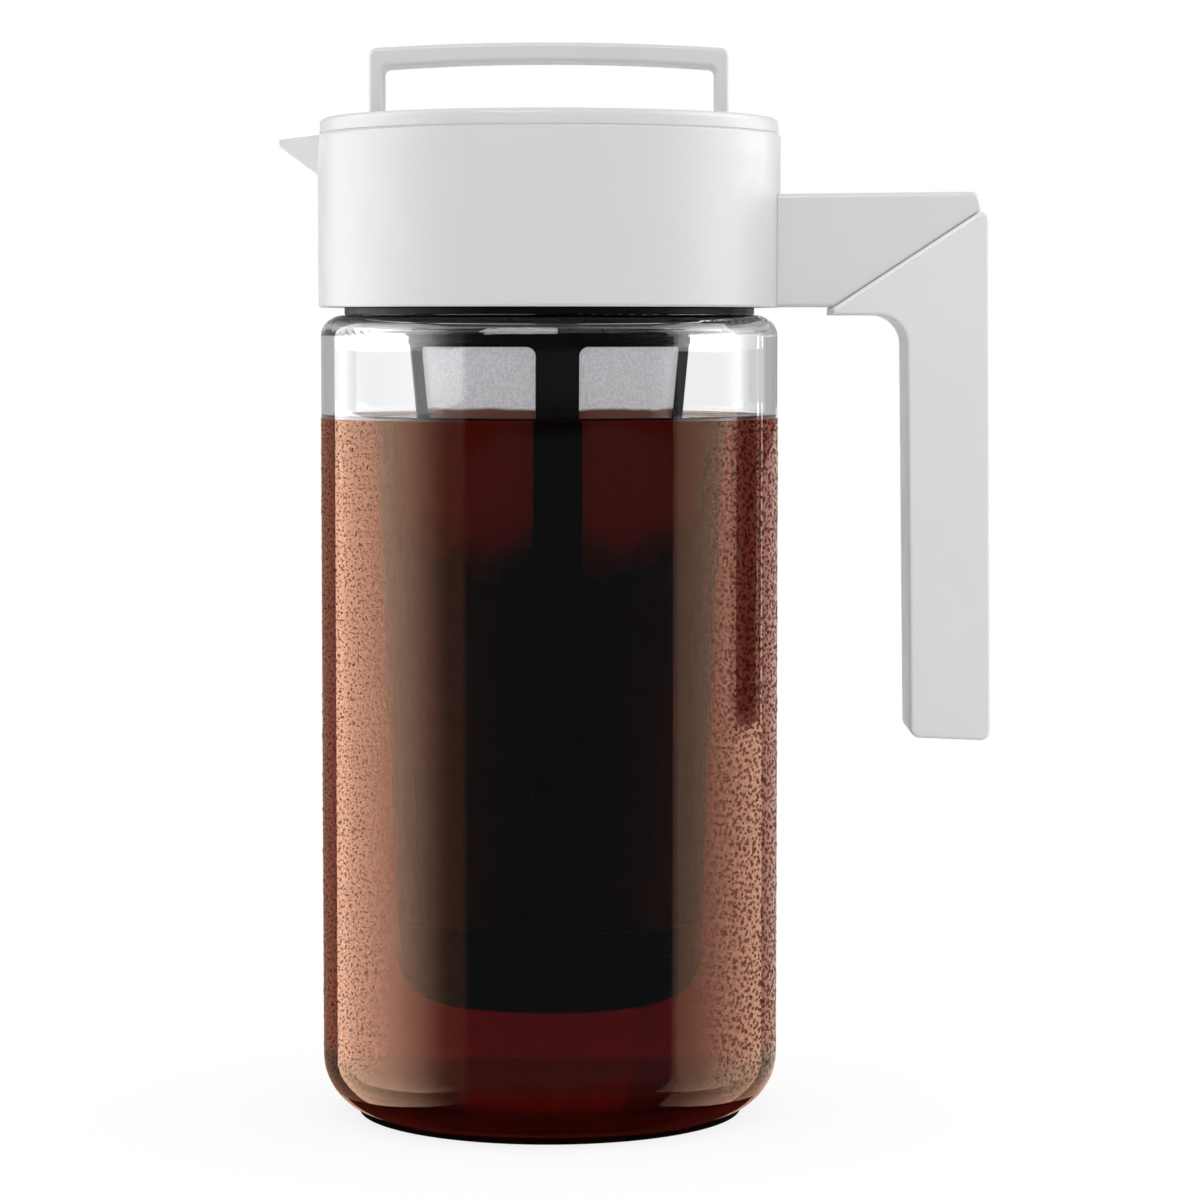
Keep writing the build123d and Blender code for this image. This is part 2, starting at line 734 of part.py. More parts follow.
# ---- infuser ----
def infuser_gasket():
    """Flat soft ring between the infuser and its socket."""
    low = ring_top + seat_gap
    return ring(infuser_crest_radius + close_gap, socket_radius - slip_gap,
                low, low + infuser_gasket_thickness)


def frame_radius(height):
    """Outer radius of the infuser's frame at a height."""
    if height >= frame_knee_height:
        share = (height - frame_knee_height) / (ring_bottom - frame_knee_height)
        return frame_knee_radius + share * (frame_top_radius - frame_knee_radius)
    share = (height - frame_foot_height) / (frame_knee_height - frame_foot_height)
    return frame_foot_radius + share * (frame_knee_radius - frame_foot_radius)


def infuser_frame():
    """Moulded frame: threaded neck, top ring, upright ribs and a foot hoop."""
    seat_top = mesh_top + seat_gap
    frame = turned([
        (frame_foot_radius - frame_wall, frame_foot_height, 0),
        (frame_foot_radius, frame_foot_height, 0),
        (frame_knee_radius, frame_knee_height, knee_rounding),
        (frame_top_radius, ring_bottom, 0),
        (socket_radius, ring_bottom + ring_step, 0),
        (socket_radius, ring_top, sharp_break),
        (infuser_neck_radius, ring_top, 0),
        (infuser_neck_radius, infuser_neck_top, edge_break),
        (infuser_neck_bore, infuser_neck_top, edge_break),
        (infuser_neck_bore, seat_top, 0),
        (frame_radius(mesh_top) - frame_wall, seat_top, 0),
        (frame_knee_radius - frame_wall, frame_knee_height, knee_rounding)])
    frame = frame + thread(infuser_neck_radius - bury, infuser_crest_radius, infuser_thread_root,
                           infuser_thread_crest, infuser_thread_pitch, infuser_thread_start,
                           infuser_thread_turns)
    for window in around(window_cutter(), rib_count, rib_angle + 180 / rib_count):
        frame = frame - window
    corners = frame.edges().filter_by(GeomType.LINE).filter_by(
        lambda edge: min(abs(edge.center().Z - window_top), abs(edge.center().Z - window_bottom))
        < 0.01 and edge.length < 2 * frame_wall)
    return fillet(corners, window_rounding)


def window_cutter():
    """Wedge that opens one window between two ribs, centred on +X."""
    half_gap = math.radians(180 / rib_count)
    apex = rib_width / 2 / math.sin(half_gap)
    reach = frame_top_radius + overrun
    wedge = make_face(Polyline(
        (apex, 0), (apex + reach, reach * math.tan(half_gap)),
        (apex + reach, -reach * math.tan(half_gap)), close=True))
    return Pos(0, 0, window_bottom) * extrude(wedge, window_top - window_bottom)


def mesh_sleeve():
    """Fine mesh, rolled to a tapering sleeve inside the frame."""
    outside = seat_gap + frame_wall
    inside = outside + mesh_thickness
    return turned([
        (frame_radius(mesh_bottom) - inside, mesh_bottom, 0),
        (frame_radius(mesh_bottom) - outside, mesh_bottom, 0),
        (frame_knee_radius - outside, frame_knee_height, knee_rounding),
        (frame_radius(mesh_top) - outside, mesh_top, 0),
        (frame_radius(mesh_top) - inside, mesh_top, 0),
        (frame_knee_radius - inside, frame_knee_height, knee_rounding)])


def infuser_base():
    """Round-cornered cup that closes the bottom of the infuser."""
    spigot = frame_foot_radius - frame_wall - close_gap
    top = frame_foot_height - seat_gap
    return turned([
        (0, base_bottom, 0),
        (frame_foot_radius, base_bottom, base_corner_rounding),
        (frame_foot_radius, top, base_lip_rounding),
        (spigot, top, 0),
        (spigot, top + base_spigot, base_lip_rounding),
        (spigot - base_wall, top + base_spigot, base_lip_rounding),
        (spigot - base_wall, base_bottom + base_wall, base_corner_rounding - base_wall),
        (0, base_bottom + base_wall, 0)])


PIECES = {
    "carafe_glass": carafe_glass,
    "neck_gasket": neck_gasket,
    "collar_shell": collar_shell,
    "collar_liner": collar_liner,
    "spout_channel": spout_channel,
    "handle_arm": handle_arm,
    "handle_grip": handle_grip,
    "handle_screws": handle_screws,
    "lid_cap": lid_cap,
    "lid_handle": lid_handle,
    "shutter_sleeve": shutter_sleeve,
    "shutter_screws": shutter_screws,
    "lid_plug": lid_plug,
    "infuser_socket": infuser_socket,
    "plug_seal_lower": lambda: plug_seal(lower_seal_height),
    "plug_seal_upper": lambda: plug_seal(upper_seal_height),
    "pivot_washer": pivot_washer,
    "pivot_screw": pivot_screw,
    "infuser_gasket": infuser_gasket,
    "infuser_frame": infuser_frame,
    "mesh_sleeve": mesh_sleeve,
    "infuser_base": infuser_base,
}

for piece_name, make_piece in PIECES.items():
    save(piece_name, make_piece())
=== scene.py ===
"""Looks of the cold brew coffee maker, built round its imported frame.

Sizes in the finishes and sub-assemblies are millimetres, as in the part's source, and MM turns
them into metres. The studio is in metres. The axis of the carafe is Z, the handle is at +X and
the spout at -X.
"""

import enum
import logging
import math
import random
from dataclasses import dataclass
from typing import Iterable, Optional, Sequence, Union

import bmesh
import bpy
from mathutils import Euler, Matrix, Vector, noise


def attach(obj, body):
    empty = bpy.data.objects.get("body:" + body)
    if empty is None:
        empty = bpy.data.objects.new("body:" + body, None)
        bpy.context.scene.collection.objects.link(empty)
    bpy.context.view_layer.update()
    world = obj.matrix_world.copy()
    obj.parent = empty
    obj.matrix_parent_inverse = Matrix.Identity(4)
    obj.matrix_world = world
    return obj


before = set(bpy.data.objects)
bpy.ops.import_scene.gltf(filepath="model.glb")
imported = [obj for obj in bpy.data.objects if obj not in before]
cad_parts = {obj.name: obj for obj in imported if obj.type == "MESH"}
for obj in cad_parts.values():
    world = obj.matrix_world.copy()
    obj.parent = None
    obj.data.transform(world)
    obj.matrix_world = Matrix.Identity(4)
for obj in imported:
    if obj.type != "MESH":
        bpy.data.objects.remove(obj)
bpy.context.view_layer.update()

MM = 0.001
MICRON = 1e-6
MERGE_DISTANCE = 1e-6
CUT_DISTANCE = 1e-7
log = logging.getLogger("coffee_maker")

Piece = bpy.types.Object
Material = bpy.types.Material
Socket = bpy.types.NodeSocket
Colour = tuple[float, float, float]
Triple = tuple[float, float, float]
Pair = tuple[float, float]
Value = Union[float, Colour, Socket]

WHITE: Colour = (1.0, 1.0, 1.0)


class Body(enum.Enum):
    """The moving bodies that the new pieces ride on."""

    CARAFE = "carafe"
    CAP = "cap"
    INFUSER = "infuser"


class Axis(enum.Enum):
    """The outputs of a Separate XYZ node."""

    X = "X"
    Y = "Y"
    Z = "Z"


class MixSocket(enum.IntEnum):
    """Numbers of the Mix node's colour sockets, whose names repeat."""

    SHARE = 0
    FIRST = 6
    SECOND = 7
    RESULT = 2


def shaded(colour: Colour, share: float) -> Colour:
    """The colour, darker by a share of itself, or lighter by a negative one."""
    return tuple(part * (1 - share) for part in colour)


def around(middle: float, share: float) -> Pair:
    """The two values that lie a share below and above a middle one."""
    return middle * (1 - share), middle * (1 + share)


# ---- node trees ----
class NodeWriter:
    """A node tree, written a step at a time."""

    def __init__(self, tree: bpy.types.NodeTree) -> None:
        """Empty the tree.

        Args:
            tree: The tree to write.
        """
        self.tree = tree
        self.tree.nodes.clear()

    def node(self, kind: str, inputs: dict, **settings: object) -> bpy.types.Node:
        """Add a node.

        Args:
            kind: Blender's type name of the node.
            inputs: Value or incoming socket by input name or number.
            **settings: Properties set on the node itself.

        Returns:
            The new node.
        """
        made = self.tree.nodes.new(kind)
        for name, value in settings.items():
            setattr(made, name, value)
        for name, value in inputs.items():
            self.feed(made.inputs[name], value)
        return made

    def feed(self, socket: Socket, value: Value) -> None:
        """Link or set one input.

        Args:
            socket: The input.
            value: A socket to link from, a number or a colour.
        """
        if isinstance(value, Socket):
            self.tree.links.new(value, socket)
        elif isinstance(value, tuple) and socket.type == "RGBA":
            socket.default_value = (*value, 1.0)
        else:
            socket.default_value = value

    def math(self, operation: str, first: Value, second: Value = 0.0,
             clamp: bool = False) -> Socket:
        """Result of a Math node, kept between 0 and 1 if clamp is set."""
        inputs = {0: first, 1: second}
        return self.node("ShaderNodeMath", inputs, operation=operation, use_clamp=clamp).outputs[0]

    def ramp(self, value: Value, low: float, high: float, start: float = 0.0,
             end: float = 1.0) -> Socket:
        """Smooth step between two values.

        Args:
            value: What is looked up.
            low: Input at which the step starts.
            high: Input at which it ends.
            start: Result at low.
            end: Result at high.

        Returns:
            The result's socket.
        """
        inputs = {0: value, 1: low, 2: high, 3: start, 4: end}
        node = self.node("ShaderNodeMapRange", inputs, interpolation_type="SMOOTHSTEP")
        return node.outputs["Result"]

    def looked_at(self) -> Socket:
        """Tell a look, straight, mirrored or through glass, from the light on matt surfaces.

        Returns:
            Socket that is 1 for a look and 0 for the light.
        """
        path = self.node("ShaderNodeLightPath", {}).outputs
        bent = self.math("MAXIMUM", path["Is Glossy Ray"], path["Is Transmission Ray"])
        return self.math("MAXIMUM", path["Is Camera Ray"], bent)


class Recipe(NodeWriter):
    """One material, written a step at a time."""

    def __init__(self, name: str) -> None:
        """Start an empty material.

        Args:
            name: Name of the material.
        """
        self.material = bpy.data.materials.new(name)
        self.material.use_nodes = True
        super().__init__(self.material.node_tree)
        self.output = self.tree.nodes.new("ShaderNodeOutputMaterial")
        self._parts: dict[str, Socket] = {}

    def place(self) -> Socket:
        """Look up the object coordinates.

        Returns:
            Their socket, in metres.
        """
        if "place" not in self._parts:
            coordinates = self.node("ShaderNodeTexCoord", {})
            self._parts["place"] = coordinates.outputs["Object"]
        return self._parts["place"]

    def along(self, axis: Axis) -> Socket:
        """Look up one of the object coordinates.

        Args:
            axis: Which one.

        Returns:
            Its socket, in metres.
        """
        if axis.value not in self._parts:
            split = self.node("ShaderNodeSeparateXYZ", {"Vector": self.place()})
            for each in Axis:
                self._parts[each.value] = split.outputs[each.value]
        return self._parts[axis.value]

    def rise(self, value: Value, ends: Pair, start: float = 0.0, end: float = 1.0) -> Socket:
        """Smooth step between two places, given in millimetres."""
        return self.ramp(value, ends[0] * MM, ends[1] * MM, start, end)

    def contrast(self, value: Value, reach: float, start: float = 0.0, end: float = 1.0) -> Socket:
        """Smooth step round the middle of a noise, that reaches so far to each side."""
        return self.ramp(value, 0.5 - reach, 0.5 + reach, start, end)

    def sway(self, value: Value, size: float) -> Socket:
        """Noise turned into an offset that is 0 in the middle and so large in all."""
        return self.math("MULTIPLY", self.math("SUBTRACT", value, 0.5), size)

    def noise(self, scale: float, detail: float = 2.0, stretch: Triple = (1.0, 1.0, 1.0),
              turn: float = 0.0) -> Socket:
        """Noise on object coordinates.

        Args:
            scale: Cells per metre.
            detail: Octaves.
            stretch: Scale along X, Y and Z.
            turn: Offset that gives another pattern.

        Returns:
            The factor's socket.
        """
        mapped = self.node("ShaderNodeMapping", {
            "Vector": self.place(), "Scale": stretch, "Location": (turn, turn, turn)})
        inputs = {"Vector": mapped.outputs[0], "Scale": scale, "Detail": detail}
        return self.node("ShaderNodeTexNoise", inputs).outputs["Fac"]

    def blend(self, share: Value, first: Value, second: Value) -> Socket:
        """Blend of two colours, with so much of the second."""
        inputs = {MixSocket.SHARE: share, MixSocket.FIRST: first, MixSocket.SECOND: second}
        return self.node("ShaderNodeMix", inputs, data_type="RGBA").outputs[MixSocket.RESULT]

    def bump(self, height: Value, distance: float, strength: float = 1.0) -> Socket:
        """Normal of a relief, where a height of 1 stands so many metres proud."""
        inputs = {"Height": height, "Distance": distance, "Strength": strength}
        return self.node("ShaderNodeBump", inputs).outputs["Normal"]

    def principled(self, inputs: dict) -> Socket:
        """Principled surface with these inputs."""
        return self.node("ShaderNodeBsdfPrincipled", inputs).outputs[0]

    def finish(self, surface: Socket, volume: Optional[Socket] = None) -> Material:
        """Link the output.

        Args:
            surface: Shader of the surface.
            volume: Shader of the inside, if it has one.

        Returns:
            The finished material.
        """
        self.tree.links.new(surface, self.output.inputs["Surface"])
        if volume is not None:
            self.tree.links.new(volume, self.output.inputs["Volume"])
        return self.material


def weave(recipe: Recipe, pitch: float, radius: float) -> Socket:
    """Height of a plain weave wrapped round the axis.

    Args:
        recipe: Material that the nodes are added to.
        pitch: Spacing of the wires in metres.
        radius: Radius that the wires are counted on.

    Returns:
        Socket that runs from 0 in a hole to 1 on a wire.
    """
    angle = recipe.math("ARCTAN2", recipe.along(Axis.Y), recipe.along(Axis.X))
    turns = round(2 * math.pi * radius / pitch) / 2
    across = recipe.math("ABSOLUTE", recipe.math("SINE", recipe.math("MULTIPLY", angle, turns)))
    height = recipe.math("MULTIPLY", recipe.along(Axis.Z), math.pi / pitch)
    upright = recipe.math("ABSOLUTE", recipe.math("SINE", height))
    return recipe.math("MAXIMUM", across, upright)


def clouds(recipe: Recipe) -> Socket:
    """Broad cloudiness of moulded plastic."""
    return recipe.noise(60.0, 3.0)


def rubbing(recipe: Recipe, smooth: float, rough: float) -> Socket:
    """Roughness of handled plastic, which wanders between two values."""
    return recipe.contrast(recipe.noise(220.0, 4.0, turn=3.0), 0.15, smooth, rough)


def mould_texture(recipe: Recipe, height: float = 0.6, scale: float = 1400.0) -> Socket:
    """Normal of a mould's texture, so many micrometres high and so fine per metre."""
    return recipe.bump(recipe.noise(scale), height * MICRON)


# ---- finishes ----
@dataclass(frozen=True)
class MouldedPlastic:
    """Opaque moulded plastic with a faint mould texture.

    Attributes:
        name: Name of the material.
        colour: Colour of the plastic.
        shade: How much darker the faint cloudiness gets.
        gloss: Roughness of the surface.
        rub: Share by which the roughness wanders.
        grain: Height of the mould texture in micrometres.
        grain_scale: Cells of the texture per metre.
        sheen: Strength of the reflection.
        bloom: Paleness of the surface where it is seen from the side.
        bloom_spread: Roughness of that paleness.
    """

    name: str
    colour: Colour
    shade: float = 0.015
    gloss: float = 0.22
    rub: float = 0.12
    grain: float = 0.6
    grain_scale: float = 1400.0
    sheen: float = 0.5
    bloom: float = 0.0
    bloom_spread: float = 0.35

    def material(self) -> Material:
        """Build the material.

        Returns:
            The material.
        """
        recipe = Recipe(self.name)
        cloud = recipe.contrast(clouds(recipe), 0.2)
        rough = rubbing(recipe, *around(self.gloss, self.rub))
        return recipe.finish(recipe.principled({
            "Base Color": recipe.blend(cloud, self.colour, shaded(self.colour, self.shade)),
            "Roughness": rough, "Specular IOR Level": self.sheen,
            "Sheen Weight": self.bloom, "Sheen Roughness": self.bloom_spread,
            "Normal": mould_texture(recipe, self.grain, self.grain_scale)}))


@dataclass(frozen=True)
class InfuserPlastic:
    """Black plastic of the infuser, which shines where it stands out of the coffee.

    Attributes:
        colour: Colour of the plastic.
        shade: How much darker the cloudiness gets.
        smooth: Lowest roughness.
        rough: Highest roughness.
        wet_to_dry: Heights between which the plastic comes out of the coffee.
        ribs_to_ring: Heights between which the upright ribs end.
        wet: Strength of the reflection in the coffee.
        dry: Strength on the dry ribs.
        ring_share: Share of it that the ring above the ribs keeps.
    """

    colour: Colour
    shade: float = 0.2
    smooth: float = 0.3
    rough: float = 0.4
    wet_to_dry: Pair = (155.0, 157.0)
    ribs_to_ring: Pair = (170.0, 172.0)
    wet: float = 0.03
    dry: float = 0.30
    ring_share: float = 0.15

    def material(self) -> Material:
        """Build the material.

        Returns:
            The material.
        """
        recipe = Recipe("wet_black_plastic")
        height = recipe.along(Axis.Z)
        out = recipe.rise(height, self.wet_to_dry, self.wet, self.dry)
        ring = recipe.rise(height, self.ribs_to_ring, 1.0, self.ring_share)
        darker = shaded(self.colour, self.shade)
        return recipe.finish(recipe.principled({
            "Base Color": recipe.blend(clouds(recipe), self.colour, darker),
            "Roughness": rubbing(recipe, self.smooth, self.rough),
            "Specular IOR Level": recipe.math("MULTIPLY", out, ring),
            "Normal": mould_texture(recipe)}))


@dataclass(frozen=True)
class SoftRubber:
    """Silicone of a seal or gasket.

    Attributes:
        colour: Colour of the silicone.
        bloom: How much lighter the dusty patches are.
        gloss: Roughness of the surface.
        rub: Share by which the roughness wanders.
        sheen: Strength of the reflection.
        grain: Height of the texture in micrometres.
    """

    colour: Colour = (0.007, 0.007, 0.0075)
    bloom: float = 0.7
    gloss: float = 0.42
    rub: float = 0.15
    sheen: float = 0.12
    grain: float = 4.0

    def material(self) -> Material:
        """Build the material.

        Returns:
            The material.
        """
        recipe = Recipe("black_silicone")
        dust = recipe.ramp(recipe.noise(900.0, 4.0), 0.45, 0.8)
        return recipe.finish(recipe.principled({
            "Base Color": recipe.blend(dust, self.colour, shaded(self.colour, -self.bloom)),
            "Roughness": recipe.contrast(recipe.noise(300.0), 0.2, *around(self.gloss, self.rub)),
            "Specular IOR Level": self.sheen,
            "Normal": mould_texture(recipe, self.grain, 2200.0)}))


@dataclass(frozen=True)
class TurnedSteel:
    """Stainless steel of a screw or washer.

    Attributes:
        colour: Colour of the bright steel.
        shade: How much darker the tool marks are.
        gloss: Roughness of the surface.
        rub: Share by which the roughness wanders.
        marks: Depth of the tool marks in micrometres.
        mark_scale: Tool marks per metre.
        mark_stretch: Scale of the marks along X, Y and Z.
    """

    colour: Colour = (0.62, 0.62, 0.63)
    shade: float = 0.18
    gloss: float = 0.26
    rub: float = 0.3
    marks: float = 3.0
    mark_scale: float = 2600.0
    mark_stretch: Triple = (1.0, 1.0, 0.15)

    def material(self) -> Material:
        """Build the material.

        Returns:
            The material.
        """
        recipe = Recipe("screw_steel")
        lines = recipe.noise(self.mark_scale, 3.0, stretch=self.mark_stretch)
        dull = shaded(self.colour, self.shade)
        return recipe.finish(recipe.principled({
            "Base Color": recipe.blend(recipe.ramp(lines, 0.4, 0.7), self.colour, dull),
            "Metallic": 1.0,
            "Roughness": recipe.contrast(lines, 0.2, *around(self.gloss, self.rub)),
            "Normal": recipe.bump(lines, self.marks * MICRON)}))


@dataclass(frozen=True)
class ClearGlass:
    """Borosilicate glass of the carafe.

    Attributes:
        index: Index of refraction.
        bright: Tint of the clearest glass.
        deep: Tint of the least clear glass.
        stained: Painted shade at the foot, a darker tint where the coffee shows through the floor
            of the glass.
        foot: Heights between which that tint ends.
        wave: Height of the waves in micrometres.
        wave_scale: Waves per metre.
        wave_stretch: Scale of the waves along X, Y and Z.
    """

    index: float = 1.47
    bright: Colour = (0.94, 0.945, 0.95)
    deep: Colour = (0.92, 0.93, 0.935)
    stained: Colour = (0.55, 0.45, 0.43)
    foot: Pair = (7.74, 8.6)
    wave: float = 6.0
    wave_scale: float = 28.0
    wave_stretch: Triple = (1.0, 1.0, 0.35)

    def material(self) -> Material:
        """Build the material.

        Returns:
            The material.
        """
        recipe = Recipe("clear_glass")
        wave = recipe.noise(self.wave_scale, 1.0, stretch=self.wave_stretch)
        tint = recipe.blend(wave, self.bright, self.deep)
        # Painted shade: the glass darkens towards its foot.
        low = recipe.rise(recipe.along(Axis.Z), self.foot, 1.0, 0.0)
        return recipe.finish(recipe.principled({
            "Base Color": recipe.blend(low, tint, self.stained), "Roughness": 0.0,
            "IOR": self.index, "Transmission Weight": 1.0,
            "Normal": recipe.bump(wave, self.wave * MICRON)}))


@dataclass(frozen=True)
class BrewedCoffee:
    """Deep red-brown coffee that darkens with its depth.

    Attributes:
        index: Index of refraction.
        bright: Tint of the surface where it is lightest.
        deep: Tint where it is darkest.
        passed: Colour that the inside lets through.
        density: How fast the inside darkens, per metre.
    """

    index: float = 1.33
    bright: Colour = (0.99, 0.96, 0.94)
    deep: Colour = (0.97, 0.93, 0.91)
    passed: Colour = (0.63, 0.10, 0.18)
    density: float = 70.0

    def material(self) -> Material:
        """Build the material.

        Returns:
            The material.
        """
        recipe = Recipe("brewed_coffee")
        surface = recipe.principled({
            "Base Color": recipe.blend(recipe.noise(90.0, 1.0), self.bright, self.deep),
            "Roughness": 0.0, "IOR": self.index, "Transmission Weight": 1.0})
        inside = recipe.node("ShaderNodeVolumeAbsorption", {
            "Color": self.passed, "Density": self.density})
        return recipe.finish(surface, inside.outputs[0])


@dataclass(frozen=True)
class WovenMesh:
    """Fine mesh of the infuser, dry above the coffee and stained below it, with a painted glow
    above the coffee in place of light coming through it.

    Attributes:
        radius: Middle radius of the sleeve.
        pitch: Spacing of the wires.
        relief: Height of a wire.
        stain_end: Heights between which the stain of the coffee ends.
        damp_end: Heights between which the damp strip above it ends.
        soak: How far the upper edge of the damp strip wanders.
        grounds_end: Heights between which the wet grounds behind the mesh end.
        wander: How far the upper edge of the grounds wanders.
        dry: Colour of the dry wires.
        shade: How much darker the holes are.
        stained: Colour in the coffee.
        damp: Colour of the damp strip above the coffee.
        packed: Colour in front of the grounds.
        painted_backlight: Painted light, a glow of the dry mesh in place of light coming through
            it, in a hole and on a wire.
        painted_backlight_tint: Colour of that painted glow.
        mottling: Fineness of the uneven weave, per metre.
        patchy: Share of the holes' shade that its patches take.
        painted_backlight_patches: Share of the painted glow in its open and its close patches.
        sheen: Strength of the reflection.
    """

    radius: float = 27.5
    pitch: float = 0.5
    relief: float = 0.03
    stain_end: Pair = (155.5, 156.3)
    damp_end: Pair = (158.8, 159.6)
    soak: float = 2.4
    grounds_end: Pair = (122.0, 138.0)
    wander: float = 22.0
    dry: Colour = (0.64, 0.64, 0.675)
    shade: float = 0.22
    stained: Colour = (0.56, 0.215, 0.13)
    damp: Colour = (0.30, 0.13, 0.09)
    packed: Colour = (0.009, 0.006, 0.005)
    painted_backlight: Pair = (0.429, 0.2475)
    painted_backlight_tint: Colour = (0.97, 0.97, 1.0)
    mottling: float = 1500.0
    patchy: float = 0.5
    painted_backlight_patches: Pair = (1.11, 0.84)
    sheen: float = 0.22

    def material(self) -> Material:
        """Build the material.

        Returns:
            The material.
        """
        recipe = Recipe("steel_mesh")
        height = recipe.along(Axis.Z)
        wires = weave(recipe, self.pitch * MM, self.radius * MM)
        hole = recipe.ramp(wires, 0.35, 0.8, 1.0, 0.0)
        mottle = recipe.noise(self.mottling, 1.0)

        pile = recipe.math("ADD", height, recipe.sway(recipe.noise(55.0, 3.0), self.wander * MM))
        grounds = recipe.rise(pile, self.grounds_end, 1.0, 0.0)
        wet = recipe.rise(height, self.stain_end, 1.0, 0.0)
        creep = recipe.math("MULTIPLY", recipe.noise(70.0), self.soak * MM)
        damp = recipe.rise(recipe.math("ADD", height, creep), self.damp_end, 1.0, 0.0)

        dark = shaded(self.dry, self.shade)
        base = recipe.blend(hole, self.dry, dark)
        base = recipe.blend(recipe.contrast(mottle, 0.15, 0.0, self.patchy), base, dark)
        base = recipe.blend(damp, base, self.damp)
        base = recipe.blend(wet, base, self.stained)
        base = recipe.blend(grounds, base, self.packed)

        # Painted light: the dry mesh glows, more in a hole than on a wire, and the glow stops at
        # the damp strip.
        glow = recipe.math("MULTIPLY", recipe.ramp(wires, 0.5, 1.0, *self.painted_backlight),
                           recipe.contrast(mottle, 0.15, *self.painted_backlight_patches))
        above = recipe.math("SUBTRACT", 1.0, damp, clamp=True)
        recipe.material.cycles.emission_sampling = "NONE"
        return recipe.finish(recipe.principled({
            "Base Color": base, "Metallic": 0.0, "Emission Color": self.painted_backlight_tint,
            "Emission Strength": recipe.math("MULTIPLY", glow, above),
            "Roughness": recipe.ramp(wires, 0.0, 1.0, 0.6, 0.38),
            "Specular IOR Level": self.sheen,
            "Normal": recipe.bump(wires, self.relief * MM, 0.5)}))


@dataclass(frozen=True)
class WetGrounds:
    """Coarse wet coffee grounds.

    Attributes:
        dark: Colour between the grains.
        light: Colour of the grains.
        grain_scale: Grains per metre.
        relief: Height of a grain.
    """

    dark: Colour = (0.010, 0.006, 0.004)
    light: Colour = (0.045, 0.022, 0.012)
    grain_scale: float = 1100.0
    relief: float = 0.5

    def material(self) -> Material:
        """Build the material.

        Returns:
            The material.
        """
        recipe = Recipe("wet_grounds")
        cells = recipe.node("ShaderNodeTexVoronoi", {
            "Vector": recipe.place(), "Scale": self.grain_scale})
        grain = cells.outputs["Distance"]
        return recipe.finish(recipe.principled({
            "Base Color": recipe.blend(recipe.ramp(grain, 0.1, 0.7), self.light, self.dark),
            "Roughness": recipe.ramp(grain, 0.0, 0.8, 0.25, 0.7),
            "Normal": recipe.bump(grain, self.relief * MM, 0.8)}))


@dataclass(frozen=True)
class BeadSize:
    """Beads of one size on the wet film.

    Attributes:
        spacing: Distance between beads.
        small: Radius at the spout's side, as a share of the spacing.
        large: Radius at the handle's side.
    """

    spacing: float
    small: float
    large: float


